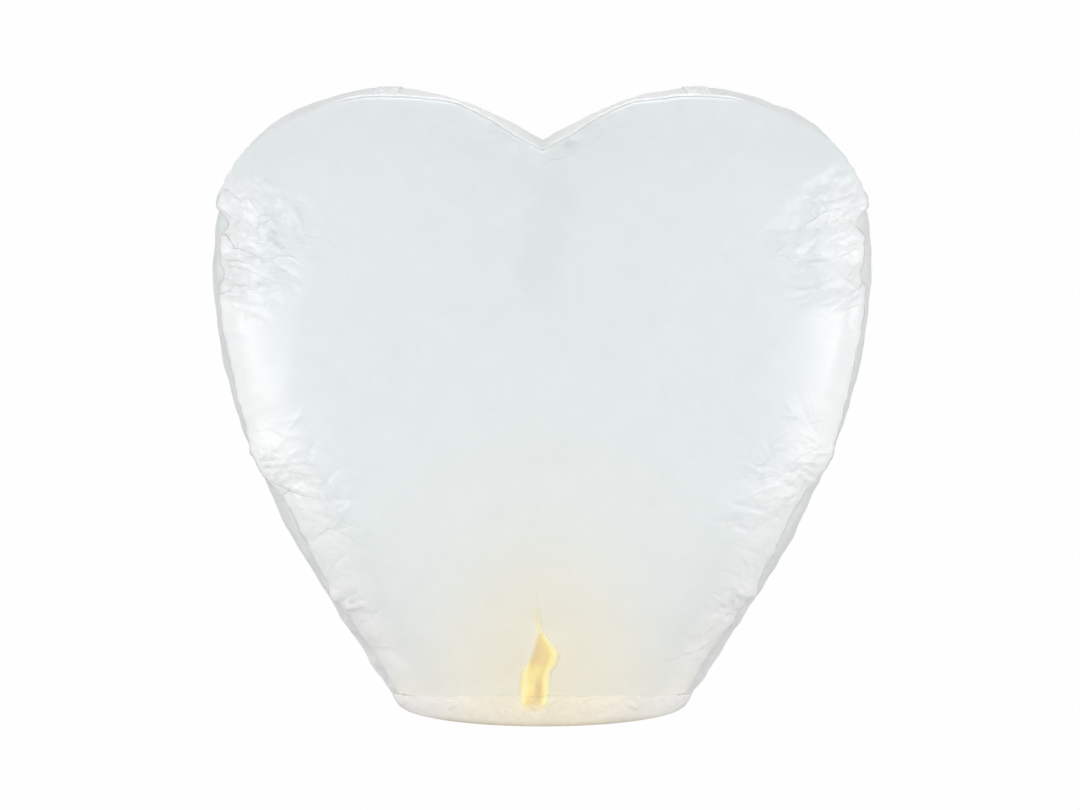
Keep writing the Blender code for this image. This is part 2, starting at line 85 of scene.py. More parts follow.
CLEFT_Z, CLEFT_RISE, CLEFT_HANDLE = 0.7495, math.radians(27.0), 0.081
HALF_DEPTH, FULL_Z, OPENING = 0.150, 0.300, 0.75          # seam depth, where full, its power
BULGE, BULGE_RUN, TIP_RUN, CLEFT_BLEND = 0.035, 0.190, 0.040, 0.100   # crest past the seam
CROWN, CENTRE_Z, TIP_Z = 0.055, 0.420, -0.300             # swell of a sheet, its centre, low end
CROWN_POWER, CROWN_SOFT = 3.5, 0.60
FACET_SLOPE, KNEE, KNEE_WIDTH = 0.56, 0.052, 0.014        # facet along the side of a sheet
SEAM_PUFF = 0.15                                          # forward share of an outward stray
SHOULDER = 0.56                                           # share at a sheet's upper corners
SHEET_COLUMNS, SHEET_ROWS = 276, 286
STRIP_ROWS = 110

ROOT = "hoop_frame"
JOINT = "envelope_flatten"
TRAVEL = [j for j in frame["joints"] if j["name"] == JOINT][0]["range_m"][1]
KEEP = 1.0 - TRAVEL / HALF_DEPTH
BLEND_START, BLEND_END = (0, 0, 0), (0, 0, FULL_Z)
CAMERA_X, CAMERA_DISTANCE, CAMERA_Z = -0.003, 2.546, 0.398


# ------------------------------------------------------------------ small helpers
def mm(values):
    """A table in millimetres as an array in metres."""
    return np.array(values, float) / 1000


def smooth(t):
    t = np.clip(t, 0.0, 1.0)
    return t * t * (3.0 - 2.0 * t)


def bell(x, centre, width):
    return np.exp(-((x - centre) / width) ** 2)


def unit(x, z):
    size = np.maximum(1e-9, np.hypot(x, z))
    return x / size, z / size


def bezier(points, t):
    t = t[:, None]
    a, b, c, d = (np.array(p, float) for p in points)
    return (1 - t) ** 3 * a + 3 * (1 - t) ** 2 * t * b + 3 * (1 - t) * t * t * c + t ** 3 * d


def add_object(name, data):
    obj = bpy.data.objects.new(name, data)
    bpy.context.scene.collection.objects.link(obj)
    return obj


# ------------------------------------------------------------------ heart outline
SPANS = (
    ((MOUTH_RADIUS, 0.0),
     (MOUTH_RADIUS + FLANK_HANDLE * math.sin(FLANK_LEAN), FLANK_HANDLE * math.cos(FLANK_LEAN)),
     (WIDEST[0], WIDEST[1] - WIDEST_BELOW), WIDEST),
    (WIDEST, (WIDEST[0], WIDEST[1] + WIDEST_ABOVE), (LOBE[0] + LOBE_OUT, LOBE[1]), LOBE),
    (LOBE, (LOBE[0] - LOBE_IN, LOBE[1]),
     (CLEFT_HANDLE * math.cos(CLEFT_RISE), CLEFT_Z + CLEFT_HANDLE * math.sin(CLEFT_RISE)),
     (0.0, CLEFT_Z)),
)
SPAN_STEPS = 600
outline = np.vstack([bezier(span, np.linspace(0, 1, SPAN_STEPS, endpoint=i == 2))
                     for i, span in enumerate(SPANS)])
run = np.r_[0, np.cumsum(np.hypot(*np.diff(outline, axis=0).T))]
LENGTH = run[-1]
LOBE_SHARE = run[2 * SPAN_STEPS] / LENGTH
SHARE = np.linspace(0, 1, 2401)
CREST_X = np.interp(SHARE * LENGTH, run, outline[:, 0])
CREST_Z = np.interp(SHARE * LENGTH, run, outline[:, 1])

# outward normals, turned upright towards the cleft
ahead, behind = np.clip(SHARE + 0.004, 0, 1), np.clip(SHARE - 0.004, 0, 1)
tangent_x, tangent_z = unit(
    np.interp(ahead, SHARE, CREST_X) - np.interp(behind, SHARE, CREST_X),
    np.interp(ahead, SHARE, CREST_Z) - np.interp(behind, SHARE, CREST_Z))
OUT_X, OUT_Z = unit(np.where(SHARE > LOBE_SHARE, tangent_z * smooth(CREST_X / CLEFT_BLEND),
                             tangent_z), -tangent_x)

# the seams lie in from the crest
bulge = (BULGE * np.sqrt(smooth(SHARE * LENGTH / BULGE_RUN * 0.5))
         * smooth(SHARE * LENGTH / TIP_RUN))
SEAM_X, SEAM_Z = np.maximum(0.0, CREST_X - OUT_X * bulge), CREST_Z - OUT_Z * bulge
SEAM_ALONG_X, SEAM_ALONG_Z = unit(np.gradient(SEAM_X), np.gradient(SEAM_Z))

# half width by height, on the lower flank
flank = (SEAM_Z <= 0.42) & (SHARE < 0.6)
FLANK_Z, FLANK_X, FLANK_SHARE = SEAM_Z[flank], SEAM_X[flank], SHARE[flank]

# the seam in polar form about the sheet's centre, closed by a point below the mouth
polar_angle = np.r_[np.arctan2(SEAM_Z - CENTRE_Z, SEAM_X), -math.pi / 2]
polar_radius = np.r_[np.hypot(SEAM_X, SEAM_Z - CENTRE_Z), CENTRE_Z - TIP_Z]
order = np.argsort(polar_angle)
POLAR_ANGLE, POLAR_RADIUS = polar_angle[order], polar_radius[order]


def rise(z):
    """How far the envelope has opened to its full depth at a height, 0 to 1."""
    return smooth(z / FULL_Z) ** OPENING


def half_depth_at(share):
    return HALF_DEPTH * rise(np.interp(share, SHARE, SEAM_Z))


def hem_top(turn):
    """Height of the hem's edge at an angle from the middle of its panel."""
    return HEM_SIDE_HEIGHT + (HEM_HEIGHT - HEM_SIDE_HEIGHT) * np.maximum(0.0, np.cos(turn))


def seam_at(share):
    return np.interp(share, SHARE, SEAM_X), np.interp(share, SHARE, SEAM_Z)


def outward_at(share):
    return np.interp(share, SHARE, OUT_X), np.interp(share, SHARE, OUT_Z)


def share_of_z(z, upper=False):
    """Share at a seam height, on the lower or on the upper flank."""
    m = (SHARE >= 0.30) & (SHARE < LOBE_SHARE) if upper else SHARE < 0.50
    return float(np.interp(z, SEAM_Z[m], SHARE[m]))


def depth(x, z, inset=None):
    """How far the plain sheet stands in front of the middle plane. With the inset
    given, the sides turn in a broad facet before the flat middle."""
    x = np.abs(x)
    opened = rise(z)
    ring = MOUTH_RADIUS * np.sqrt(np.maximum(0.0, 1.0 - (x / np.interp(z, FLANK_Z, FLANK_X)) ** 2))
    reach = np.interp(np.arctan2(z - CENTRE_Z, x), POLAR_ANGLE, POLAR_RADIUS)
    out = np.hypot(x, z - CENTRE_Z) / reach
    crown = CROWN * np.maximum(0.0, 1.0 - out ** CROWN_POWER) ** CROWN_SOFT
    if inset is not None:
        past_knee = KNEE_WIDTH * np.logaddexp(0.0, (inset - KNEE) / KNEE_WIDTH)
        at_seam = KNEE_WIDTH * math.log1p(math.exp(-KNEE / KNEE_WIDTH))
        facet = np.minimum(inset, 0.004) + FACET_SLOPE * (inset - past_knee + at_seam)
        slow_rise = 0.016 * (1.0 - np.exp(-(inset / 0.11) ** 1.6))
        crown = 0.25 * crown + 0.75 * np.minimum(facet + slow_rise, CROWN)
    return np.where(opened < 1.0, (1.0 - opened) * ring, 0.0) + opened * (HALF_DEPTH + crown)


# ---------------------------------------------------------------- crease patterns
def cells(plan, size, seed):
    """Upper envelope of tilted facets, one per jittered cell: crumpled paper."""
    scaled = plan / size
    base = np.floor(scaled).astype(np.int64)
    highest = np.full(len(plan), -1e9)
    for i in (-1, 0, 1):
        for j in (-1, 0, 1):
            cell = base + (i, j)
            code = (cell[:, 0] * 73856093) ^ (cell[:, 1] * 19349663) ^ (seed * 83492791)
            draws = []
            for _ in range(5):
                code = (code ^ (code >> 13)) * 1274126177 & 0x7FFFFFFF
                draws.append((code & 0xFFFF) / 65535.0)
            away = scaled - (cell + np.stack([draws[0], draws[1]], 1))
            tilt = (draws[2] - 0.5) * away[:, 0] + (draws[3] - 0.5) * away[:, 1]
            facet = 0.30 * draws[4] + tilt * 1.1 - 0.55 * (away ** 2).sum(1)
            highest = np.maximum(highest, facet)
    return highest


def crumple(plan, size, seed):
    """Zero-mean facets, about -0.5 to 0.5, with sharp valleys and ridges."""
    warp = size * 0.25 * np.stack([np.sin(plan[:, 1] / size * 1.7 + seed),
                                   np.cos(plan[:, 0] / size * 1.3 + 2 * seed)], 1)
    return cells(plan + warp, size, seed) - cells(plan - warp + 7.3, size * 1.13, seed + 5)


def waves(plan, size, seed):
    """Smooth noise from sine sheets, about -1 to 1."""
    rng = np.random.RandomState(seed)
    total = np.zeros(len(plan))
    strength, scale = 1.0, 0.0
    for octave in range(3):
        for _ in range(5):
            angle, phase = rng.uniform(0, 2 * math.pi, 2)
            k = 2 * math.pi / (size * rng.uniform(0.7, 1.4)) * 2 ** octave
            total += strength * np.sin(plan[:, 0] * math.cos(angle) * k
                                       + plan[:, 1] * math.sin(angle) * k + phase)
        scale += strength * 2.2
        strength *= 0.5
    return total / scale


def wiggle(rng, share, lowest, highest, period, falloff):
    """One random sine along the outline, weaker the faster it runs."""
    rate, phase = rng.uniform(lowest, highest), rng.uniform(0, 6.28)
    return np.sin(rate * share * 2 * math.pi / period + phase) / (1 + rate / falloff)


def crease_relief(plan, segments):
    """Sum of gently bowed creases: (x0, z0, x1, z1, height, width at start, width at end)."""
    relief = np.zeros(len(plan))
    for x0, z0, x1, z1, height, width0, width1 in segments:
        length = math.hypot(x1 - x0, z1 - z0)
        along_x, along_z = (x1 - x0) / length, (z1 - z0) / length
        reach = max(width0, width1) * 1.05
        near = ((plan[:, 0] > min(x0, x1) - reach) & (plan[:, 0] < max(x0, x1) + reach)
                & (plan[:, 1] > min(z0, z1) - reach) & (plan[:, 1] < max(z0, z1) + reach))
        dx, dz = plan[near, 0] - x0, plan[near, 1] - z0
        along = (dx * along_x + dz * along_z) / length
        within = np.clip(along, 0, 1)
        bow = 0.04 * length * np.sin(within * 3.0) * (1 if height > 0 else -1)
        off = dx * -along_z + dz * along_x + bow
        width = width0 + (width1 - width0) * within
        profile = np.maximum(0.0, 1.0 - np.abs(off) / width) ** 1.4
        ends = smooth((along + 0.06) / 0.12) * (1.0 - smooth((along - 0.25) / 0.80))
        relief[near] += height * profile * ends
    return relief


def turned(plan, degrees, stretch, shift):
    """Plan coordinates turned, stretched along the turned direction and shifted along it."""
    c, n = math.cos(math.radians(degrees)), math.sin(math.radians(degrees))
    return np.stack([(plan[:, 0] * c + plan[:, 1] * n) / stretch + shift,
                     -plan[:, 0] * n + plan[:, 1] * c], 1)


# ------------------------------------------------------- visible width of the strip
# Width of side strip seen past the front seam, in millimetres.
# Going up the side: (height, level width)
STRIP_UP = mm((
    (0, 5.5), (9, 11), (20, 13.5), (30, 15.5), (41, 17.5), (52, 18.5), (62, 18), (73, 16),
    (84, 13.5), (105, 12.7), (116, 12), (127, 10.5), (134, 8), (138, 4), (146, 4.5),
    (158, 12.5), (180, 14), (201, 15), (212, 16), (234, 16.8), (245, 16.5), (255, 14.7),
    (266, 12.7), (276, 10.5), (287, 6), (298, 2.5), (308, 0), (330, 0), (340, 3.3),
    (351, 4.4), (362, 5.3), (383, 6.7), (405, 8), (426, 9.4), (437, 9.8), (458, 9.4),
    (469, 8.7), (480, 7.4), (490, 6.7), (512, 8), (522, 8.4), (533, 8), (544, 9.4),
    (549, 12), (555, 14.7), (565, 16), (576, 12), (587, 10), (597, 8), (608, 6.4),
    (613, 7.5), (619, 11.3), (624, 14), (630, 16.7), (635, 16.7), (640, 12), (645, 6.7),
    (651, 0), (658, -2), (700, -2), (720, -1.5)))
# Along the top: (distance from the middle, width)
STRIP_ALONG = mm((
    (0, 15), (20, 14), (40, 11), (58, 8), (85, 6.5), (110, 7.5), (135, 11), (200, 11),
    (270, 9.5), (320, 8), (350, 6), (375, 2), (400, -1)))

# the strip's crest draws in a little where the sheets are gathered
drawn = (0.0034 * bell(CREST_Z, 0.612, 0.030) + 0.0032 * bell(CREST_Z, 0.275, 0.045)
         - 0.0036 * bell(CREST_Z, 0.044, 0.030)) * (SHARE < LOBE_SHARE)
STRIP_X, STRIP_Z = CREST_X - OUT_X * drawn, CREST_Z - OUT_Z * drawn


def strip_section(t):
    """Section of the strip: 0 at a seam (t = -1 or 1), 1 at the crest."""
    return 1.0 - np.abs(t) ** 2.2


def plain_stray():
    """How far out the seam must move for the camera to see the wanted strip width."""
    t = np.linspace(-1, 1, 81)[None]
    half = HALF_DEPTH * rise(SEAM_Z)[:, None]
    k = strip_section(t)
    x = SEAM_X[:, None] + (STRIP_X - SEAM_X)[:, None] * k
    z = SEAM_Z[:, None] + (STRIP_Z - SEAM_Z)[:, None] * k
    scale = CAMERA_DISTANCE / (CAMERA_DISTANCE + half * t)
    strip_seen = ((x * scale - CREST_X[:, None]) * OUT_X[:, None]
                  + ((z - CAMERA_Z) * scale + CAMERA_Z - CREST_Z[:, None]) * OUT_Z[:, None])
    seam_scale = CAMERA_DISTANCE / (CAMERA_DISTANCE - half[:, 0])
    seam_seen = ((SEAM_X * seam_scale - CREST_X) * OUT_X
                 + ((SEAM_Z - CAMERA_Z) * seam_scale + CAMERA_Z - CREST_Z) * OUT_Z)
    up = np.interp(CREST_Z, *STRIP_UP.T)
    along = np.interp(CREST_X, *STRIP_ALONG.T)
    mix = smooth((SHARE - share_of_z(0.668, upper=True)) / 0.03)
    wanted = up * OUT_X * (1 - mix) + along * mix
    return (strip_seen.max(1) - seam_seen - wanted) / seam_scale


STRAY = plain_stray()


def seam_stray(share, side, face):
    """How far a seam strays outwards: each sheet's edge puffs over the strip and
    draws back again down each side."""
    rng = np.random.RandomState(11 + 3 * (side > 0) + 7 * (face > 0))
    slip = rng.uniform(-0.004, 0.004)
    if side < 0:
        slip = 0.0
    plain = np.interp(share + slip * smooth((0.5 - share) / 0.1) * smooth(share / 0.1),
                      SHARE, STRAY)
    if face < 0:
        plain = 0.85 * plain
    ripple = np.zeros_like(plain)
    for _ in range(26):
        ripple += 0.0004 * wiggle(rng, share, 20, 150, period=2.2, falloff=50)
    z = np.interp(share, SHARE, SEAM_Z)
    return plain + (ripple * smooth(z / 0.06) * smooth((1.0 - share) / 0.05)
                    * (1 - 0.5 * smooth((share - 0.55) / 0.1)))


def stray_on_both(share, side, face):
    """seam_stray for an array of sides."""
    return np.where(side > 0, seam_stray(share, 1, face), seam_stray(share, -1, face))


def move_out(verts, share, side, face, amount):
    """Moves points outwards and, where that is positive, away from the middle plane too."""
    out_x, out_z = outward_at(share)
    verts[..., 0] += side * out_x * amount
    verts[..., 2] += out_z * amount
    verts[..., 1] -= face * SEAM_PUFF * np.maximum(0, amount)


# ------------------------------------------------------------------ sheet relief
# Single creases, in millimetres: x0, z0, x1, z1, height, width at start, width at end
FRONT_CREASES = mm((
    # long soft lines down the middle
    (18, 700, 23, 440, -0.5, 4, 4), (12, 560, 17, 320, 0.3, 3, 3),
    # below the lobes
    (-174, 789, -135, 752, -1.6, 4, 4), (-137, 753, -97, 728, -2, 4, 3.5),
    (-97, 728, -70, 720, 1.4, 3.5, 3.5), (77, 721, 130, 741, -1.6, 3.5, 4),
    (130, 741, 168, 792, -1.6, 4, 4),
    # at the cleft
    (0, 740, 43, 708, -7.5, 5.5, 6), (12, 731, 54, 716, 6.5, 4, 5),
    (-4, 736, -46, 738, -5.6, 4.5, 5), (10, 734, 66, 729, -5.6, 4.5, 5),
    (-60, 764, -52, 742, 2.4, 5, 6), (60, 764, 68, 742, 2.4, 5, 6),
    # above the widest point
    (-421.6, 689, -337.6, 668, 4, 6, 5), (-416, 680, -335, 660, -3.4, 5, 4),
    (-410, 676, -390, 655, -3, 5, 5), (415, 686, 335, 670, 4, 6, 5),
    (410, 662, 345, 640, 3.4, 5, 5),
    # at and below the widest point
    (-415, 609, -375, 570, 4.2, 9, 6), (-417, 556, -362, 552, -6.2, 8, 7),
    (-415, 568, -356, 566, 3.4, 6, 6), (415, 609, 380, 572, 4.2, 9, 6),
    (417, 552, 370, 556, -5.6, 8, 7), (415, 566, 370, 567, 3, 6, 6),
    (-377, 548, -364, 485, -2.6, 7, 12), (380, 548, 372, 480, -2.6, 7, 12),
    # at the gather half way down the flank
    (-384, 341, -300, 338, 3, 4.5, 4), (-382, 333, -290, 328, -2.4, 4, 4),
    (-378, 325, -310, 318, 2.4, 4, 4), (384, 342, 304, 337, 3, 4.5, 4),
    (380, 331, 300, 326, -2.4, 4, 4), (374, 323, 312, 318, 2.2, 4, 4),
    # at the small gather near the mouth
    (-275, 158, -262, 190, -3.4, 3, 3.5), (-272, 150, -236, 118, 4, 5, 6),
    (-262, 142, -226, 112, -3.2, 4, 5), (275, 158, 262, 188, -3.2, 3, 3.5),
    (272, 150, 238, 120, 4, 5, 6), (262, 142, 228, 112, -3, 4, 5)))
BACK_CREASES = mm((
    (10, 705, 4, 420, 0.5, 4, 4), (0, 719, -36, 685, -4, 5, 6), (4, 713, 50, 706, -3, 4, 5),
    (-384, 338, -295, 332, 3, 4.5, 4), (384, 338, 300, 330, 3, 4.5, 4)))

mouth_end, small_gather, gather = (share_of_z(z) for z in (0.030, 0.138, 0.312))
below_widest, widest_start = share_of_z(0.46), share_of_z(0.53)
shoulder_end = share_of_z(0.70, upper=True)
# Fans of creases that run in from the seam: count, first and last share, then in
# millimetres the ranges of length, height and width, then the mean angle from straight
# in and its spread, and how deep in millimetres they may start (0: just outside the seam)
CREASE_FANS = (
    # the gathered shoulder: long creases that run in and down
    (34, widest_start, shoulder_end, (40, 115), (1.2, 3.4), (4.5, 8.5), 0.35, 0.22, 0),
    (30, widest_start, shoulder_end, (30, 80), (1.0, 2.6), (3.5, 6.5), 0.40, 0.30, 70),
    (60, widest_start, shoulder_end, (10, 40), (0.5, 1.4), (2.2, 4.0), 0.30, 0.60, 90),
    (16, shoulder_end, LOBE_SHARE - 0.03, (12, 50), (0.3, 0.8), (3.0, 5.5), 0.0, 0.45, 0),
    (22, LOBE_SHARE - 0.012, LOBE_SHARE + 0.015, (8, 26), (0.5, 1.2), (2.0, 3.2), 0.0, 0.25, 0),
    (16, LOBE_SHARE + 0.01, 0.985, (10, 45), (0.3, 0.9), (3.0, 5.5), 0.0, 0.5, 0),
    (12, below_widest, widest_start, (12, 50), (0.5, 1.4), (3.5, 6.0), 0.2, 0.6, 0),
    # the gather below the widest point
    (46, gather - 0.024, gather + 0.020, (12, 62), (1.0, 2.6), (2.4, 5.0), 0.0, 0.40, 0),
    (46, gather - 0.030, gather + 0.030, (6, 24), (0.7, 1.6), (1.8, 3.0), 0.0, 0.9, 30),
    (30, gather - 0.090, gather + 0.050, (20, 70), (0.6, 1.8), (2.6, 5.0), 0.1, 0.7, 60),
    # the small gather near the mouth
    (26, small_gather - 0.012, small_gather + 0.012, (12, 60), (1.2, 2.8), (2.4, 5.0),
     -0.35, 0.45, 0),
    (34, small_gather - 0.030, small_gather + 0.060, (10, 50), (0.4, 1.4), (2.2, 4.5),
     0.0, 0.8, 30),
    (34, mouth_end, small_gather, (8, 40), (0.4, 1.3), (2.2, 4.2), 0.0, 0.8, 20),
)


def rim_creases(side, face):
    """Creases that run in from the seam; denser where the sheet gathers."""
    rng = np.random.RandomState(101 + 17 * (side > 0) + 31 * (face > 0))
    segments = []
    for count, first, last, lengths, heights, widths, lean, spread, deepest in CREASE_FANS:
        for _ in range(count):
            share = rng.uniform(first, last)
            x, z = seam_at(share)
            out_x, out_z = outward_at(share)
            angle = rng.normal(lean, spread)
            dx = -out_x * math.cos(angle) + out_z * math.sin(angle)
            dz = -out_x * math.sin(angle) - out_z * math.cos(angle)
            length = rng.uniform(*mm(lengths))
            start = rng.uniform(0.0, deepest / 1000) if deepest else -0.002
            height = rng.uniform(*mm(heights)) * (1 if rng.rand() < 0.55 else -1)
            width = rng.uniform(*mm(widths))
            x0, z0 = x - out_x * start, z - out_z * start
            segments.append((side * x0, z0, side * (x0 + dx * length), z0 + dz * length,
                             height, width, width * rng.uniform(1.0, 1.9)))
    return segments


def back_creases():
    """The back's listed creases and 22 random ones that run in from its flanks."""
    rng = np.random.RandomState(77)
    segments = list(BACK_CREASES)
    lower = SHARE < 0.5
    for _ in range(22):
        side = rng.choice([-1, 1])
        z = rng.uniform(0.12, 0.70)
        x = float(np.interp(z, SEAM_Z[lower], SEAM_X[lower]))
        segments.append((side * x, z, side * (x - rng.uniform(0.04, 0.10)),
                         z + rng.uniform(-0.04, 0.01),
                         rng.choice([-1, 1]) * rng.uniform(0.0018, 0.0040), 0.0050, 0.006))
    return segments


# Crumpled stretches of the flank: height of the middle, half height, strength
CRUMPLED = ((0.645, 0.085, 1.00), (0.545, 0.045, 0.62), (0.310, 0.055, 0.70),
            (0.235, 0.050, 0.45), (0.130, 0.045, 0.75), (0.065, 0.035, 0.45))


def crush_zone(x, z, share, inset):
    """How strongly a sheet is crumpled, 0 to 1: near the flank, by height alone, and overall."""
    strong = sum(strength * bell(z, middle, half) for middle, half, strength in CRUMPLED)
    strong = np.clip(strong, 0, 1) * smooth((0.64 - share) / 0.06)
    reach = 0.060 + 0.065 * bell(z, 0.64, 0.12) + 0.020 * bell(z, 0.30, 0.07)
    zone = strong * np.exp(-(inset / reach) ** 2.2) + 0.05 * np.exp(-inset / 0.05)
    cleft = (0.7 * bell(np.abs(x), 0.045, 0.055) * bell(inset, 0, 0.028)
             * smooth((share - 0.80) / 0.08))
    return zone, strong, np.clip(zone + cleft, 0, 1)


def sheet_relief(plan, share, inset, side, face):
    """Crease relief of a sheet, along its outward normal; plan is (x, z)."""
    seed = 3 if face > 0 else 9
    z = plan[:, 1]
    x = np.abs(plan[:, 0])
    zone, strong, _ = crush_zone(x, z, share, inset)
    # mirrored about the middle, so that creases run in and down on both sides
    mirrored = np.stack([x, z], 1)
    medium = turned(mirrored, 24.0, 2.6, side * 0.31)
    steep = turned(mirrored, 38.0, 1.9, side * 0.27)
    level = turned(mirrored, 8.0, 2.2, side * 0.23)
    upper = smooth((z - 0.40) / 0.08)
    relief = upper * zone * (0.0046 * crumple(medium, 0.026, seed)
                             + 0.0026 * crumple(steep, 0.013, seed + 1))
    relief += (1 - upper) * zone * (0.0040 * crumple(level, 0.024, seed + 6)
                                    + 0.0022 * crumple(medium, 0.012, seed + 7))
    relief += zone * 0.0011 * crumple(plan, 0.0060, seed + 2)
    # broad facets of the upper side, then slow swells and faint facets of the middle
    relief += 0.0060 * zone * crumple(steep, 0.060, seed + 8) * upper
    relief += 0.0017 * waves(plan, 0.19, seed + 3) * smooth(inset / 0.03)
    relief += (0.00045 * (1 - zone) * crumple(plan * (1.0, 0.45), 0.085, seed + 4)
               * smooth(inset / 0.02))
    relief += crease_relief(plan, FRONT_CREASES if face > 0 else back_creases())
    for half in (-1, 1):
        m = plan[:, 0] * half > -0.01
        relief[m] += crease_relief(plan[m], rim_creases(half, face)) * (0.80 + 0.20 * strong[m])
    # pouches: the paper swells between gathers, close to the seam
    swell = bell(z, 0.47, 0.060) + 0.6 * bell(z, 0.225, 0.045)
    relief += 0.0040 * bell(inset, 0.026, 0.022) * swell * (share < 0.62)
    # one spot where several creases meet is eased, so that the sheet doesn't fold over itself
    if face > 0:
        relief *= 1 - 0.75 * bell(plan[:, 0], 0.3905, 0.017) * bell(z, 0.570, 0.015)
    # none right on the seam
    fade = 0.35 * smooth(inset / 0.005) + 0.65 * smooth(inset / 0.016)
    return np.clip(relief, -0.011, 0.011) * fade


# ------------------------------------------------------------------ mesh helpers
def grid_object(name, verts, thickness=0.0003, **attributes):
    """A solid sheet from an array [rows, columns, 3], with float point attributes."""
    rows, cols = verts.shape[:2]
    index = np.arange(rows * cols).reshape(rows, cols)
    quads = np.stack([index[:-1, :-1], index[:-1, 1:], index[1:, 1:], index[1:, :-1]], -1)
    count = quads.size // 4
    mesh = bpy.data.meshes.new(name)
    mesh.vertices.add(rows * cols)
    mesh.vertices.foreach_set("co", verts.reshape(-1).astype(np.float32))
    mesh.loops.add(count * 4)
    mesh.loops.foreach_set("vertex_index", quads.reshape(-1).astype(np.int32))
    mesh.polygons.add(count)
    mesh.polygons.foreach_set("loop_start", np.arange(0, count * 4, 4, dtype=np.int32))
    mesh.polygons.foreach_set("use_smooth", np.ones(count, bool))
    mesh.update(calc_edges=True)
    for key, value in attributes.items():
        value = np.ascontiguousarray(np.broadcast_to(value, (rows, cols)), np.float32)
        mesh.attributes.new(key, "FLOAT", "POINT").data.foreach_set("value", value.reshape(-1))
    mesh.validate()
    obj = add_object(name, mesh)
    solidify = obj.modifiers.new("sheet", "SOLIDIFY")
    solidify.thickness = thickness
    solidify.offset = 0.0
    apply_modifiers(obj)
    return obj


def apply_modifiers(obj):
    graph = bpy.context.evaluated_depsgraph_get()
    mesh = bpy.data.meshes.new_from_object(obj.evaluated_get(graph), preserve_all_data_layers=True,
                                           depsgraph=graph)
    obj.modifiers.clear()
    old = obj.data
    obj.data = mesh
    mesh.name = obj.name
    bpy.data.meshes.remove(old)
    for p in mesh.polygons:
        p.use_smooth = True


def grid_normals(verts):
    n = np.cross(np.gradient(verts, axis=1), np.gradient(verts, axis=0))
    return n / np.maximum(1e-12, np.linalg.norm(n, axis=-1, keepdims=True))


def glow_of(verts):
    """Painted warm light of the flame on the paper near it, 0 to 1."""
    away = np.hypot(verts[..., 0] / 0.152, (verts[..., 2] - 0.030) / 0.215)
    return np.exp(-(away / 0.85) ** 2.4)


# The flame's outline seen from in front, in millimetres: height, left edge, right edge
FLAME_Y = -0.033
FLAME_EDGE = mm((
    (-12, -27, -23.5), (-7.5, -27, -21.5), (-5, -26.8, 4.5), (-2, -27.5, 6.4), (6, -29, 8),
    (14, -29.5, 9), (26.2, -31, 10), (39.5, -30, 11.2), (46, -28.5, 12.5), (52, -23.5, 17.5),
    (58.5, -20, 21.5), (65, -16.5, 23.2), (71.5, -14, 22.2), (78, -11.5, 19),
    (85, -9.5, 12.5), (92, -8, 6.5), (100, -6.2, 1.5), (108, -10, 0.5), (116, -12, -1.5),
    (128, -11, -3.5), (140, -10, -4.8), (160, -9, -6)))


def clear_of(verts):
    """Where the flame stands close behind the paper and shows through it."""
    k = (CAMERA_DISTANCE + FLAME_Y) / (CAMERA_DISTANCE + verts[..., 1])
    x = (verts[..., 0] - CAMERA_X) * k + CAMERA_X
    z = CAMERA_Z + (verts[..., 2] - CAMERA_Z) * k
    heights, left, right = FLAME_EDGE.T
    inside = (smooth((x - np.interp(z, heights, left) + 0.0016) / 0.0060)
              * smooth((np.interp(z, heights, right) - x + 0.0016) / 0.0060))
    foot = smooth((z + 0.0125) / 0.006) * (0.72 + 0.28 * smooth(z / 0.005))
    tip = (1 - 0.45 * smooth((z - 0.096) / 0.012)) * (1 - smooth((z - 0.115) / 0.050))
    return inside * foot * tip * (verts[..., 1] < 0)


# ------------------------------------------------------------------ paper pieces
def nearest_seam(x, z):
    """Distance to the seam line and the share of its nearest point."""
    x = np.abs(x)
    seam_x, seam_z = SEAM_X[::2], SEAM_Z[::2]
    along_x, along_z, shares = SEAM_ALONG_X[::2], SEAM_ALONG_Z[::2], SHARE[::2]
    insets, found = [], []
    batch = 4000                                          # keeps the distance table small
    for i in range(0, len(x), batch):
        dx = x[i:i + batch, None] - seam_x[None]
        dz = z[i:i + batch, None] - seam_z[None]
        squared = dx * dx + dz * dz
        k = squared.argmin(1)
        row = np.arange(len(k))
        along = dx[row, k] * along_x[k] + dz[row, k] * along_z[k]
        across = np.abs(dx[row, k] * along_z[k] - dz[row, k] * along_x[k])
        beside = np.abs(along) < 2.5 * LENGTH / len(SHARE)
        insets.append(np.where(beside, across, np.sqrt(squared[row, k])))
        found.append(np.clip(shares[k] + np.where(beside, along, 0.0) / LENGTH, 0, 1))
    return np.concatenate(insets), np.concatenate(found)


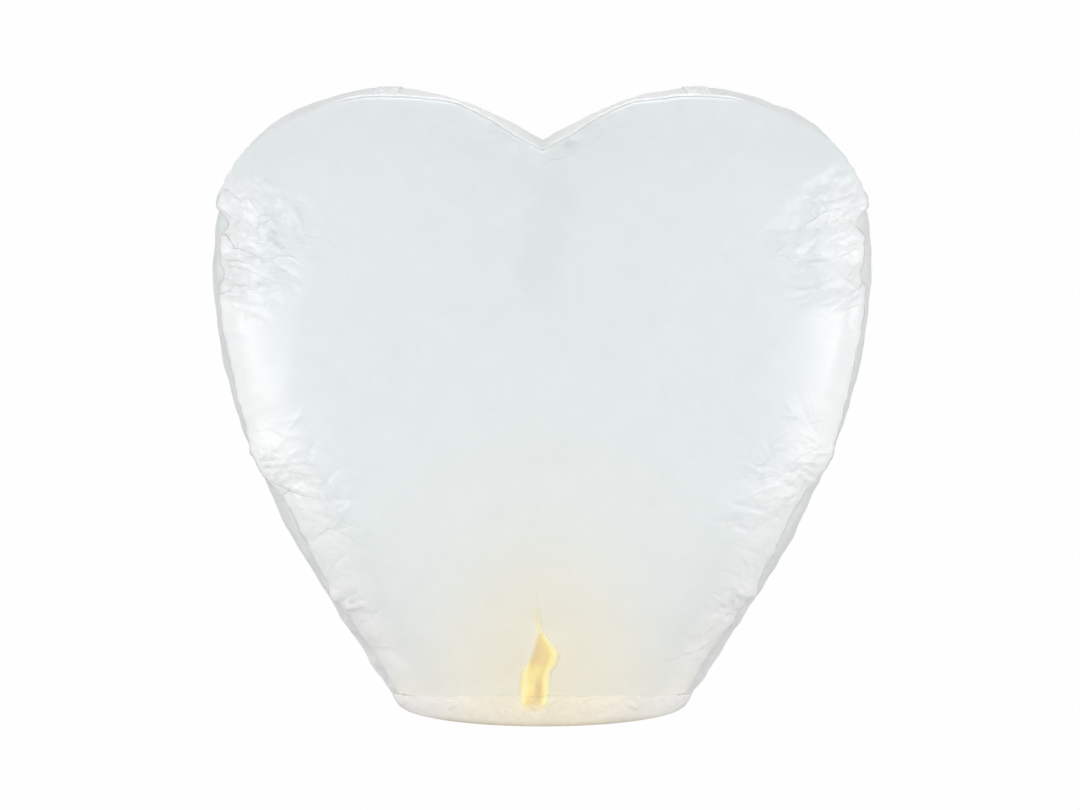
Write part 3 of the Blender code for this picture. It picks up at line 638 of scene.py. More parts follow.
def sheet_plan():
    """x and z of a sheet's grid, blended from its hem, top seam, middle line and side seam."""
    across = np.linspace(-1, 1, SHEET_COLUMNS + 1)
    across = np.sign(across) * (1.30 * np.abs(across) - 0.30 * np.abs(across) ** 3.2)
    up = np.linspace(0, 1, SHEET_ROWS + 1)
    up = up + 0.12 * (up * (1 - up))
    signed, up = np.meshgrid(across, up)
    out = np.abs(signed)
    turn = out * math.pi / 2
    hem_share = float(np.interp(HEM_SIDE_HEIGHT, FLANK_Z, FLANK_SHARE))
    corner, shoulder, notch = (np.array(seam_at(s)) for s in (hem_share, SHOULDER, 1.0))
    foot_z = hem_top(turn)
    bottom = np.stack([np.interp(foot_z, FLANK_Z, FLANK_X) * np.sin(turn), foot_z], -1)
    top = np.stack(seam_at(1.0 - (1.0 - SHOULDER) * out), -1)
    middle = np.stack([np.zeros_like(out), HEM_HEIGHT + (notch[1] - HEM_HEIGHT) * up], -1)
    seam = np.stack(seam_at(hem_share + (SHOULDER - hem_share) * up), -1)
    c = (np.sin(turn) * (1 - up) + out * up)[..., None]
    w = up[..., None]
    plan = (1 - w) * bottom + w * top + (1 - c) * middle + c * seam
    plan -= ((1 - w) * ((1 - c) * np.array([0.0, HEM_HEIGHT]) + c * corner)
             + w * ((1 - c) * notch + c * shoulder))
    return plan[..., 0] * np.where(signed < 0, -1, 1), plan[..., 1]


def sheet(name, face):
    """The front or the back sheet. The last row and the outer columns lie on the seam."""
    x, z = sheet_plan()
    inset, share = (a.reshape(x.shape) for a in nearest_seam(x.ravel(), z.ravel()))
    side = np.where(x >= 0, 1, -1)
    verts = np.stack([x, -depth(x, z, inset), z], -1)
    normals = grid_normals(verts)
    normals *= np.sign(-normals[..., 1].mean())
    relief = sheet_relief(np.stack([x.ravel(), z.ravel()], 1), share.ravel(), inset.ravel(),
                          side.ravel(), face).reshape(x.shape)
    # little moves at the bottom edge, which the hem holds
    foot = hem_top(np.arcsin(np.clip(np.abs(x) / np.interp(z, FLANK_Z, FLANK_X), 0, 1)))
    relief *= smooth((z - foot) / 0.02) * 0.9 + 0.1
    # close to the seam the relief stands forward only, so the edge keeps its line
    ease = 0.12 + 0.88 * smooth((inset - 0.002) / 0.034)
    verts += normals * relief[..., None] * np.stack([ease, np.ones_like(ease), ease], -1)
    move_out(verts, share, side, 1, stray_on_both(share, side, face) * bell(inset, 0, 0.030))
    # painted highlight: the edge attribute lightens a band inside the seam down the lower sides, where the
    # sheet turns towards the side lights
    edge = (1 - smooth((inset - 0.022) / 0.046)) * smooth((0.66 - share) / 0.10)
    crush = crush_zone(x, z, share, inset)[2]
    # painted shade: darker under the cleft and near the seam over the lobe tops, where less light falls
    wander = 0.006 * np.sin(z * 41) + 0.004 * np.sin(z * 97 + 1)
    dull = (0.85 * smooth((0.042 - np.abs(x - 0.004 - wander)) / 0.030)
            * smooth((z - 0.45) / 0.14) * smooth((0.78 - z) / 0.05))
    dull += 0.55 * (1 - smooth((inset - 0.020) / 0.075)) * smooth((share - 0.60) / 0.06)
    if face < 0:
        edge, dull, crush, verts = (a[:, ::-1] for a in (edge, dull, crush, verts))
        verts[..., 1] *= -1
    return grid_object(name, verts, edge=edge, dull=np.clip(dull, 0, 1), glow=glow_of(verts),
                       clear=clear_of(verts), crush=crush)


def strip_point(share, t, side):
    """Side strip before creasing: t is -1 at the front seam and 1 at the back seam."""
    seam_x, seam_z = seam_at(share)
    crest_x, crest_z = np.interp(share, SHARE, STRIP_X), np.interp(share, SHARE, STRIP_Z)
    k = strip_section(t)
    return np.stack([side * (seam_x + (crest_x - seam_x) * k), HALF_DEPTH * rise(seam_z) * t,
                     seam_z + (crest_z - seam_z) * k], -1)


def strip_gathers(first, last, side, across):
    """Random creases that cross the strip from either seam."""
    rng = np.random.RandomState(400 + int(7 * first * 100) + (side > 0))
    segments = []
    for _ in range(int(170 * abs(last - first) * (2 if across else 1) / 0.5)):
        end = rng.choice([-1, 1])
        run_start = rng.uniform(first, last) * LENGTH + (3.0 if side > 0 else 0.0)
        length = rng.uniform(0.012, 0.085)
        segments.append((run_start, end * HALF_DEPTH, run_start + rng.normal(0, 0.012),
                         end * (HALF_DEPTH - length),
                         rng.choice([-1, 1]) * rng.uniform(0.0004, 0.0014),
                         rng.uniform(0.0025, 0.0045), rng.uniform(0.004, 0.007)))
    return segments


def strip(name, first, last, columns, side, across=False):
    """Strip between two shares of one side, or across both sides of the cleft."""
    if across:
        ends = np.linspace(-1, 1, columns + 1)
        share = 1.0 - (1.0 - first) * np.abs(ends)
        sides = np.where(ends >= 0, 1, -1)
    else:
        share = np.linspace(first, last, columns + 1)
        sides = np.full(columns + 1, side)
    t = np.linspace(-1, 1, STRIP_ROWS + 1)
    t = np.sign(t) * (1.22 * np.abs(t) - 0.22 * np.abs(t) ** 3)
    sides = np.meshgrid(sides, t)[0]
    share, t = np.meshgrid(share, t)
    verts = strip_point(share, t, sides)
    normals = grid_normals(verts)
    row, col = share.shape[0] // 2, share.shape[1] // 3
    out_x, out_z = outward_at(share[0, col])
    if normals[row, col, 0] * sides[0, col] * out_x + normals[row, col, 2] * out_z < 0:
        normals = -normals
    half = half_depth_at(share)
    inset = (1 - np.abs(t)) * half
    run_along = share * LENGTH
    # the two sides lie apart in plan, so that their patterns differ
    plan = np.stack([(run_along + (sides > 0) * 3.0).ravel(), (t * half).ravel()], 1)
    edge = np.exp(-inset / 0.030)
    near = edge.ravel()
    relief = (0.0022 * (0.35 + near) * crumple(plan, 0.026, 21)
              + 0.0015 * (0.25 + near) * crumple(plan, 0.012, 22)
              + 0.0007 * (0.15 + near) * crumple(plan, 0.0065, 24)
              + 0.0020 * waves(plan, 0.12, 23))
    relief += crease_relief(plan, strip_gathers(first, last, side, across))
    relief = relief.reshape(share.shape)
    # the crease down the middle of the strip
    off = np.abs(t * half)
    relief += ((0.0010 * np.maximum(0, 1 - off / 0.007) ** 1.2
                + 0.0008 * np.maximum(0, 1 - off / 0.03))
               * (0.6 + 0.4 * np.sin(run_along * 31 + 2 * np.sin(run_along * 17)))
               * smooth(half / 0.05))
    relief -= 0.0012 * (1 - edge)
    # dips just behind each seam
    relief -= 0.0030 * bell(inset, 0.012, 0.011) * smooth(half / 0.05)
    z = verts[..., 2].copy()
    relief *= smooth(inset / 0.005) * smooth(z / 0.03)
    verts = verts + normals * relief[..., None]
    fade = bell(inset, 0, np.minimum(0.020, 0.0005 + 0.42 * half))
    for face, near in ((1, t < 0), (-1, t >= 0)):
        move_out(verts, share, sides, face, fade * near * stray_on_both(share, sides, face))
    verts[..., 2] = np.maximum(verts[..., 2], 0.0004)
    # painted highlight: ridge makes the middle of the strip lighter low down, along its lit crease
    ridge = smooth((0.42 - np.abs(t)) / 0.12) * bell(z, 0.105, 0.034)
    return grid_object(name, verts, edge=ridge, glow=0.25 * glow_of(verts), clear=0, dull=0,
                       crush=0.20 + 0.45 * edge)


def seam_lap(name, face, side):
    """The glued lap that stands out along a seam: two thicknesses of tissue."""
    count = 900
    share = np.linspace(0.035, 1.0, count)
    out = np.linspace(0, 1, 5)[:, None]                   # 0 at the seam, 1 at the free edge
    seam_x, seam_z = seam_at(share)
    out_x, out_z = outward_at(share)
    half = half_depth_at(share)
    rng = np.random.RandomState(900 + (side > 0) + 2 * (face > 0))
    wave, vary = np.zeros(count), np.zeros(count)
    for _ in range(30):
        wave += wiggle(rng, share, 15, 330, period=2.0, falloff=120)
        vary += wiggle(rng, share, 5, 160, period=2.0, falloff=60)
    wave, vary = wave / 4.5, vary / 5
    base = np.stack([side * seam_x, -half, seam_z], -1)
    move_out(base, share, side, 1, seam_stray(share, side, face))
    top = smooth((share - 0.56) / 0.08)
    lean = 0.95 + 0.22 * wave - 0.55 * (1 - top)
    direction = np.stack([side * out_x * np.sin(lean), -np.cos(lean), out_z * np.sin(lean)], -1)
    level = np.stack([side * out_x, np.zeros(count), out_z], -1)
    # almost no lap between the shoulder and the lobe top
    bare = (smooth((share - share_of_z(0.655, upper=True)) / 0.01)
            * smooth((LOBE_SHARE - 0.035 - share) / 0.03))
    width = (0.0028 * (0.42 + 0.58 * top) * (1 - 0.97 * bare) * (1 + 0.25 * vary)
             * smooth(half / 0.03) * (1 - 0.5 * bell(share, 1.0, 0.02)) + 0.0003)
    verts = (base + direction * (width * (out - 0.08))[..., None]
             + level * (0.0006 * wave * out ** 2)[..., None])
    if side > 0:
        verts = verts[::-1]
    if face < 0:
        verts[..., 1] *= -1
        verts = verts[::-1]
    # painted light: with edge=top the lap's tone gets lighter along the top of the heart, which faces up to
    # the light
    return grid_object(name, verts, 0.0005, edge=top, glow=0.4 * glow_of(verts), clear=0,
                       dull=0, crush=0.3)


def turn_in(name, face, side):
    """The sheet's glued margin, turned in behind the side strip. It reaches just far enough
    to bridge sheet and strip when the lantern is pressed flat."""
    top_z = 0.335
    share = np.linspace(0.0010, share_of_z(top_z), 240)
    z = seam_at(share)[1]
    half = np.maximum(HALF_DEPTH * rise(z), 0.0008)
    reach = half - TRAVEL * (half / HALF_DEPTH) ** (1 / OPENING) - 0.5 * KEEP * half
    reach = np.maximum(0.0004, reach * smooth((top_z - z) / 0.03))
    in_from_seam = np.linspace(0, 1, 9)[:, None]
    share = np.broadcast_to(share, (9, len(share)))
    verts = strip_point(share, -(1 - in_from_seam * (reach / half)), side)
    inset = in_from_seam * reach
    out_x, out_z = outward_at(share)
    fade = bell(inset, 0, np.minimum(0.020, 0.0005 + 0.42 * half))
    move_out(verts, share, side, 1, fade * seam_stray(share, side, face))
    behind = 0.0008 + 0.0065 * smooth(half / 0.05) * smooth(inset / 0.010)
    verts[..., 0] -= side * out_x * behind
    verts[..., 2] = np.maximum(verts[..., 2] - out_z * behind, 0.0008)
    if face < 0:
        verts[..., 1] *= -1
    return grid_object(name, verts, edge=0, glow=0.25 * glow_of(verts), clear=0, dull=0,
                       crush=0.4)


# The hem's section: its folds under the hoop, and where its height starts to follow the edge
FOLD_RADIUS = 0.0018
FOLD_OUTER = MOUTH_RADIUS - 0.0004
FOLD_INNER = 0.1860                                       # where the inner fold starts
FLAP_RADIUS = FOLD_INNER - FOLD_RADIUS
UNDERSIDE_Z = 0.0003
STRETCH_Z = 0.0092


def hem_section():
    """Rows of the hem from its outer edge down, under the hoop and up inside:
    (kind, place, z). On "sheet" rows place is the offset inwards from the sheet, on
    "hoop" rows a radius, and on "between" rows the progress from hoop to sheet."""
    rows = [("sheet", -0.0005, z) for z in np.linspace(HEM_HEIGHT + 0.0004, 0.0030, 26)]
    for a in np.linspace(0, 1, 6)[1:] * math.pi / 2:
        rows.append(("hoop", FOLD_OUTER - FOLD_RADIUS * (1 - math.cos(a)),
                     0.0021 - FOLD_RADIUS * math.sin(a)))
    rows += [("hoop", r, UNDERSIDE_Z) for r in (0.1868, FOLD_INNER)]
    for a in np.linspace(0, 1, 5)[1:] * math.pi / 2:
        rows.append(("hoop", FOLD_INNER - FOLD_RADIUS * math.sin(a),
                     UNDERSIDE_Z + FOLD_RADIUS * (1 - math.cos(a))))
    rows += [("hoop", FLAP_RADIUS, z) for z in np.linspace(0.0040, 0.0115, 5)]
    rows += [("between", f, z)
             for f, z in zip(np.linspace(0.15, 1, 6), np.linspace(0.0128, 0.0195, 6))]
    rows += [("sheet", 0.0016, z) for z in np.linspace(0.0210, 0.0345, 8)]
    return rows


def hem_creases(face):
    """Creases of the outer band, in arc length and z + 0.3."""
    segments = []
    for degrees in (-33.5, 33.5):
        arc = math.radians(degrees) * MOUTH_RADIUS
        k = 1 if degrees < 0 else -1
        segments += [(arc - 0.010 * k, 0.312, arc + 0.012 * k, 0.324, -0.0030, 0.0035, 0.0030),
                     (arc - 0.008 * k, 0.317, arc + 0.010 * k, 0.326, 0.0022, 0.0030, 0.0030)]
    rng = np.random.RandomState(60 + face)
    for _ in range(46):
        arc = rng.uniform(-0.29, 0.29)
        segments.append((arc, 0.303 + rng.uniform(0, 0.03), arc + rng.normal(0, 0.014),
                         0.303 + rng.uniform(0, 0.034),
                         rng.choice([-1, 1]) * rng.uniform(0.0004, 0.0013), 0.0022, 0.0030))
    return segments


def hem(name, face):
    """Turned-up hem: outer layer, round under the hoop, and up inside."""
    columns = 360
    along = np.linspace(-1, 1, columns + 1)
    turn = along * math.pi / 2
    circle_x, circle_y = np.sin(turn), -np.cos(turn)
    section = hem_section()
    ripple = (0.0006 * np.sin(along * 23 + face) + 0.0004 * np.sin(along * 61 + 2)
              + 0.0003 * np.sin(along * 131))
    ripple *= 1 - 0.8 * smooth((np.abs(along) - 0.60) / 0.20)
    edge_z = hem_top(turn) + 0.0018 + 0.0026 * smooth((np.abs(along) - 0.55) / 0.25)
    stretch = (edge_z - STRETCH_Z) / (HEM_HEIGHT - STRETCH_Z)
    rows = []
    for i, (kind, place, section_z) in enumerate(section):
        z = np.full_like(along, section_z)
        z = np.where(z > STRETCH_Z, STRETCH_Z + (z - STRETCH_Z) * stretch, z)
        if i < 3:
            z = z + ripple * (1 - i / 3)
        width = np.interp(z, FLANK_Z, FLANK_X)
        x = width * np.sin(turn) * 0.9999999              # keeps the root in depth() real
        out_x, out_y = unit(np.sin(turn) / np.maximum(width, 1e-6), -np.cos(turn) / MOUTH_RADIUS)
        offset = place if kind == "sheet" else 0.0016
        sheet_x, sheet_y = x - out_x * offset, -depth(x, z) - out_y * offset
        if kind == "sheet":
            x, y = sheet_x, sheet_y
        elif kind == "hoop":
            x, y = circle_x * place, circle_y * place
        else:
            f = smooth(place)
            x = circle_x * FLAP_RADIUS * (1 - f) + sheet_x * f
            y = circle_y * FLAP_RADIUS * (1 - f) + sheet_y * f
        rows.append(np.stack([x, y, z], -1))
    verts = np.stack(rows)
    normals = grid_normals(verts)
    if normals[3, columns // 2, 1] > 0:
        normals = -normals
    # crumple on the outer band and a little on the flap
    arc = np.broadcast_to(turn * MOUTH_RADIUS, verts.shape[:2])
    plan = np.stack([arc.ravel(), verts[..., 2].ravel() + 0.3], 1)
    relief = (0.0016 * crumple(plan, 0.020, 41 + face)
              + 0.0009 * crumple(plan, 0.009, 43 + face)).reshape(arc.shape)
    outer = np.array([float(k == "sheet" and p < 0) for k, p, _ in section])[:, None]
    flap = np.array([float(k == "sheet" and p > 0) for k, p, _ in section])[:, None]
    section_z = np.array([z for _, _, z in section])[:, None]
    relief = relief * (outer * 0.8 + flap * 0.3)
    relief += crease_relief(plan, hem_creases(face)).reshape(arc.shape) * outer
    relief *= smooth((section_z - 0.004) / 0.008) * smooth((hem_top(turn) - 0.012) / 0.008)
    relief *= smooth((1 - np.abs(along)) / 0.02)
    verts = verts + normals * np.clip(relief, -0.0010, 0.0030)[..., None]
    if face < 0:
        verts[..., :2] *= -1
    rim = (np.clip(1.0 - (verts[..., 2] - 0.0008) / 0.0066, 0, 1)
           * (0.15 + 0.85 * smooth((0.155 - np.abs(verts[..., 0])) / 0.05)))
    # painted light: edge makes the hem lighter towards its sides, to make up for the light it loses as it
    # turns away
    return grid_object(name, verts, 0.0004, edge=np.abs(np.sin(turn)), glow=glow_of(verts),
                       clear=clear_of(verts), rim=rim, dull=0, crush=0.40)


def join_patch(name, side):
    """Crinkled band over the lobe top, where side and top strips meet."""
    columns, rows = 44, 150
    run_along = np.linspace(-1, 1, columns + 1) * 0.0155
    share, t = np.meshgrid(LOBE_SHARE + run_along / LENGTH, np.linspace(-0.97, 0.97, rows + 1))
    verts = strip_point(share, t, side)
    normals = grid_normals(verts)
    if normals[rows // 2, columns // 2, 2] < 0:
        normals = -normals
    u, v = ((share - LOBE_SHARE) * LENGTH).ravel(), (t * HALF_DEPTH).ravel()
    pleats = np.sin(u * 900 + 3 * np.sin(v * 140)) * (0.4 + 0.6 * np.abs(np.sin(v * 60)))
    relief = 0.8 * (0.0013 * crumple(np.stack([u, v], 1), 0.008, 71 + side) + 0.0010 * pleats)
    lift = 0.0013 + np.clip(relief, -0.0009, 0.0012).reshape(share.shape)
    # painted light: edge=1 gives the whole patch the lighter tone of the upward-facing lobe top
    return grid_object(name, verts + normals * lift[..., None], 0.0004, edge=1, glow=0, clear=0,
                       dull=0, crush=0.8)


# ---------------------------------------------------------------------- materials
class Graph:
    """The shader nodes of one material or world. Input values may be sockets to link."""

    def __init__(self, owner):
        self.owner = owner
        owner.use_nodes = True
        owner.node_tree.nodes.clear()

    def node(self, kind, inputs=None, **settings):
        made = self.owner.node_tree.nodes.new("ShaderNode" + kind)
        for key, value in settings.items():
            setattr(made, key, value)
        for key, value in (inputs or {}).items():
            socket = made.inputs[key]
            if isinstance(value, bpy.types.NodeSocket):
                self.owner.node_tree.links.new(value, socket)
            elif socket.type == "RGBA":
                socket.default_value = (*value, 1.0)
            else:
                socket.default_value = value
        return made

    def surface(self, shader, output="OutputMaterial"):
        self.node(output, {"Surface": shader})
        return self.owner

    def place(self, output="Object"):
        return self.node("TexCoord").outputs[output]

    def attribute(self, name):
        return self.node("Attribute", attribute_name=name).outputs["Fac"]

    def calc(self, operation, *values, clamp=False):
        return self.node("Math", dict(enumerate(values)), operation=operation,
                         use_clamp=clamp).outputs[0]

    def vector(self, operation, *values, output="Vector"):
        return self.node("VectorMath", dict(enumerate(values)),
                         operation=operation).outputs[output]

    def split(self, vector):
        return self.node("SeparateXYZ", {0: vector}).outputs

    def join(self, x, y):
        return self.node("CombineXYZ", {0: x, 1: y}).outputs[0]

    def stretched(self, vector, scale):
        return self.node("Mapping", {"Scale": scale, "Vector": vector}).outputs[0]

    def noise(self, vector, scale, detail, roughness=0.5, output="Fac"):
        return self.node("TexNoise", {"Scale": scale, "Detail": detail, "Roughness": roughness,
                                      "Vector": vector}).outputs[output]

    def bump(self, height, strength, distance, **inputs):
        return self.node("Bump", {"Strength": strength, "Distance": distance,
                                  "Height": height, **inputs}).outputs[0]

    def mix_colour(self, factor, a, b, mode="MIX"):
        # 6, 7 and output 2 are the colour sockets of the Mix node
        return self.node("Mix", {0: factor, 6: a, 7: b}, data_type="RGBA",
                         blend_type=mode).outputs[2]

    def multiply(self, a, b):
        return self.mix_colour(1.0, a, b, "MULTIPLY")

    def mix_shader(self, factor, a, b):
        return self.node("MixShader", {0: factor, 1: a, 2: b}).outputs[0]

    def ramp(self, factor, *stops):
        made = self.node("ValToRGB", {0: factor})
        elements = made.color_ramp.elements
        while len(elements) < len(stops):
            elements.new(0.5)
        for element, (position, colour) in zip(elements, stops):
            element.position = position
            element.color = (*colour, 1.0)
        return made.outputs["Color"]


def new_material(name):
    return Graph(bpy.data.materials.new(name))


# Layers of crumple facets: turn in degrees, cell size, stretch, weight of the painted facet shade
FACET_LAYERS = ((24.0, 0.019, 3.4, 0.6), (14.0, 0.0080, 2.2, 0.4))
FACET_STEEPNESS = 0.16
FACET_SHADE_STRENGTH = 0.12


def crumple_nodes(g, place):
    """Facets of crumpled tissue, longer along the creases that run in and down: the
    height of their random tilts, in metres, and a painted shade for each facet, lighter
    where its tilt faces up and darker where it faces down."""
    x, y, z = g.split(place)
    stray = g.split(g.noise(place, scale=16.0, detail=2.0, output="Color"))
    # x is mirrored; each quarter of the lantern gets its own stretch of the pattern
    out = g.calc("ABSOLUTE", x)
    quarter = g.calc("MULTIPLY_ADD", g.calc("SIGN", y), 5.3,
                     g.calc("MULTIPLY", g.calc("SIGN", x), 3.1))
    out = g.calc("MULTIPLY_ADD", stray[0], 0.050, out)
    up = g.calc("MULTIPLY_ADD", stray[1], 0.050, z)
    heights, facet_shades = [], []
    for degrees, size, stretch, weight in FACET_LAYERS:
        c, n = math.cos(math.radians(degrees)), math.sin(math.radians(degrees))
        u = g.calc("MULTIPLY", g.calc("MULTIPLY_ADD", up, n, g.calc("MULTIPLY", out, c)),
                   1.0 / stretch)
        v = g.calc("MULTIPLY_ADD", up, c, g.calc("MULTIPLY", out, -n))
        plan = g.join(g.calc("ADD", u, quarter), v)
        facets = g.node("TexVoronoi",
                        {"Scale": 1.0 / size, "Smoothness": 0.16, "Vector": plan},
                        voronoi_dimensions="2D", feature="SMOOTH_F1")
        away = g.vector("SUBTRACT", plan, facets.outputs["Position"])
        tilt = g.vector("SUBTRACT", facets.outputs["Color"], (0.5, 0.5, 0.5))
        slope = g.vector("DOT_PRODUCT", away, tilt, output="Value")
        heights.append(g.calc("MULTIPLY", slope, FACET_STEEPNESS))
        facet_shades.append(g.calc("MULTIPLY", g.split(tilt)[1], -weight))
    return g.calc("ADD", *heights), g.calc("ADD", *facet_shades)


def paper_material(name, base, painted_light_tone, translucent=0.30, clear=0.04, clear_glow=0.64,
                   rim=False, gloss=0.5, warm_pass=(1.0, 0.91, 0.66)):
    """Tissue. clear is the share of light let straight through, clear_glow what the
    flame adds to it, and warm_pass the colour it takes there."""
    white = (1.0, 1.0, 1.0)
    g = new_material(name)
    place = g.place()
    # cloudy formation of the tissue and its long fibres
    cloud = g.noise(place, scale=38.0, detail=4.0, roughness=0.6)
    fibre = g.noise(g.stretched(place, (1.0, 1.0, 0.22)), scale=620.0, detail=3.0,
                    roughness=0.65)
    fine = g.noise(place, scale=1500.0, detail=2.0)
    # painted highlight: a lighter tone towards the edge, as the edge attribute says
    colour = g.mix_colour(g.attribute("edge"), base, painted_light_tone)
    # painted shade: a little darker under the cleft and over the lobe tops
    colour = g.mix_colour(g.attribute("dull"), colour, tuple(0.955 * c for c in base))
    colour = g.multiply(colour, g.ramp(cloud, (0.30, (0.975, 0.977, 0.978)), (0.70, white)))
    colour = g.multiply(colour, g.ramp(fibre, (0.35, (0.982, 0.984, 0.984)), (0.62, white)))
    # painted light: the flame's warm light tints the paper's colour near it, as the glow attribute says
    colour = g.multiply(colour, g.mix_colour(g.attribute("glow"), white, (1.0, 0.922, 0.768)))
    if rim:
        streak = g.noise(place, scale=90.0, detail=2.0)
        amount = g.calc("MULTIPLY", g.attribute("rim"),
                        g.calc("MULTIPLY_ADD", streak, 0.5, 0.45), clamp=True)
        colour = g.mix_colour(amount, colour, (0.74, 0.66, 0.50))
    grain = g.bump(g.calc("MULTIPLY_ADD", fine, 0.35, fibre), strength=0.18, distance=0.0006)
    crush = g.attribute("crush")
    relief, facet_shade = crumple_nodes(g, place)
    normal = g.bump(g.calc("MULTIPLY", relief, crush), strength=1.0, distance=1.0, Normal=grain)
    # painted shade of the crumple facets: lighter where a facet tilts up, darker where it tilts down
    layer = g.calc("MULTIPLY_ADD", g.calc("MULTIPLY", facet_shade, crush), FACET_SHADE_STRENGTH, 1.0)
    colour = g.multiply(colour, g.node("CombineColor", {0: layer, 1: layer, 2: layer}).outputs[0])
    skin = g.node("BsdfPrincipled", {
        "Specular IOR Level": gloss,
        "Sheen Weight": 0.10,
        "Sheen Roughness": 0.4,
        "Roughness": g.calc("MULTIPLY_ADD", cloud, 0.16, 0.27),
        "Base Color": colour,
        "Normal": normal}).outputs[0]
    through = g.node("BsdfTranslucent", {"Color": colour, "Normal": normal}).outputs[0]
    paper = g.mix_shader(translucent, skin, through)
    straight = g.node("BsdfTransparent").outputs[0]
    # where the flame shows through, the paper passes its warm colour
    lit = g.node("BsdfTransparent", {
        "Color": g.mix_colour(g.attribute("clear"), white, warm_pass)}).outputs[0]
    clearness = g.calc("MULTIPLY_ADD", g.attribute("clear"), clear_glow, clear, clamp=True)
    paper = g.mix_shader(clearness, paper, lit)
    # the far face of the sheet's own thickness lets the light on, so a sheet counts once
    backfacing = g.node("NewGeometry").outputs["Backfacing"]
    return g.surface(g.mix_shader(backfacing, paper, straight))


def solid_material(g, **inputs):
    """Principled surface; underscores in the input names stand for spaces."""
    inputs = {key.replace("_", " "): value for key, value in inputs.items()}
    return g.surface(g.node("BsdfPrincipled", inputs).outputs[0])


def wire_material():
    g = new_material("galvanised_wire")
    mottle = g.noise(g.place(), scale=700.0, detail=3.0)
    return solid_material(
        g, Metallic=0.9, Roughness=g.calc("MULTIPLY_ADD", mottle, 0.3, 0.28),
        Base_Color=g.ramp(mottle, (0.35, (0.30, 0.30, 0.29)), (0.65, (0.52, 0.52, 0.51))))


def bamboo_material():
    """Grain that runs round the hoop: slow by angle, fast by height."""
    g = new_material("split_bamboo")
    x, y, z = g.split(g.place())
    around = g.calc("MULTIPLY", g.calc("ARCTAN2", y, x), 3.0)
    grain = g.noise(g.join(around, g.calc("MULTIPLY", z, 900.0)), scale=1.0, detail=5.0,
                    roughness=0.6)
    return solid_material(
        g, Base_Color=g.ramp(grain, (0.30, (0.40, 0.27, 0.12)), (0.55, (0.62, 0.46, 0.24)),
                             (0.75, (0.74, 0.60, 0.36))),
        Normal=g.bump(grain, strength=0.4, distance=0.0004),
        Roughness=g.calc("MULTIPLY_ADD", grain, 0.25, 0.40))


def thread_material():
    g = new_material("lashing_thread")
    fibre = g.noise(g.place(), scale=2600.0, detail=2.0)
    return solid_material(
        g, Base_Color=g.ramp(fibre, (0.3, (0.62, 0.58, 0.50)), (0.7, (0.84, 0.81, 0.74))),
        Roughness=0.8, Normal=g.bump(fibre, strength=0.6, distance=0.0002))


def pad_material():
    """Waxed board, darkened where the char attribute says."""
    g = new_material("waxed_board")
    place = g.place()
    blotch = g.noise(place, scale=120.0, detail=5.0, roughness=0.65)
    fine = g.noise(place, scale=900.0, detail=3.0)
    colour = g.ramp(blotch, (0.28, (0.62, 0.51, 0.34)), (0.50, (0.78, 0.68, 0.50)),
                    (0.72, (0.86, 0.79, 0.64)))
    return solid_material(
        g, Base_Color=g.mix_colour(g.attribute("char"), colour, (0.060, 0.035, 0.020)),
        Roughness=g.calc("MULTIPLY_ADD", blotch, 0.35, 0.25), Coat_Weight=0.25,
        Coat_Roughness=0.3, Normal=g.bump(g.calc("MULTIPLY_ADD", fine, 0.5, blotch),
                                          strength=0.5, distance=0.0005))


def flame_material():
    """Light that is yellower where hot, and fades where the surface turns away."""
    g = new_material("flame_light")
    lick = g.noise(g.stretched(g.place(), (1.0, 1.0, 0.30)), scale=260.0, detail=3.0)
    heat = g.calc("MULTIPLY_ADD", g.calc("SUBTRACT", lick, 0.5), 0.35, g.attribute("warmth"),
                  clamp=True)
    colour = g.ramp(heat, (0.0, (0.76, 0.56, 0.30)), (0.30, (0.88, 0.69, 0.27)),
                    (0.60, (0.98, 0.86, 0.32)), (1.0, (1.0, 0.99, 0.56)))
    light = g.node("Emission", {
        "Color": colour, "Strength": g.calc("MULTIPLY_ADD", heat, 0.05, 1.03)}).outputs[0]
    facing = g.node("LayerWeight", {"Blend": 0.35}).outputs["Facing"]
    soft = g.calc("SUBTRACT", 1.0, facing, clamp=True)
    alpha = g.calc("MULTIPLY", g.calc("POWER", soft, 0.9), g.attribute("dens"), clamp=True)
    backfacing = g.node("NewGeometry").outputs["Backfacing"]
    alpha = g.calc("MULTIPLY", alpha, g.calc("SUBTRACT", 1.0, backfacing, clamp=False),
                   clamp=True)
    return g.surface(g.mix_shader(alpha, g.node("BsdfTransparent").outputs[0], light))


# The tissue materials are lit and shaded copies of one paper: painted shade makes the side strips a little
# darker, painted light from above makes the top strip lighter, and the hem is painted lighter where its
# down-turned band gets less light. The laps are darker. Each painted light tone is a painted highlight, laid
# on as the edge attribute says.
SHEET = paper_material("tissue_sheet", base=(0.845, 0.880, 0.888),
                       painted_light_tone=(0.955, 0.965, 0.970))
STRIP = paper_material("tissue_strip", base=(0.845, 0.862, 0.864),
                       painted_light_tone=(0.915, 0.922, 0.920), gloss=0.35)
STRIP_TOP = paper_material("tissue_strip_top", base=(0.950, 0.957, 0.950),
                           painted_light_tone=(0.962, 0.967, 0.962), gloss=0.35)
LAP = paper_material("tissue_lap", base=(0.80, 0.81, 0.81), painted_light_tone=(0.95, 0.955, 0.96),
                     translucent=0.22, clear=0.02)
HEM = paper_material("tissue_hem", base=(0.94, 0.955, 0.955), painted_light_tone=(1.0, 1.0, 1.0),
                     translucent=0.25, clear=0.02, clear_glow=0.80, rim=True,
                     warm_pass=(1.0, 0.975, 0.90))
WIRE = wire_material()
BAMBOO = bamboo_material()
THREAD = thread_material()
PAD = pad_material()
FLAME = flame_material()


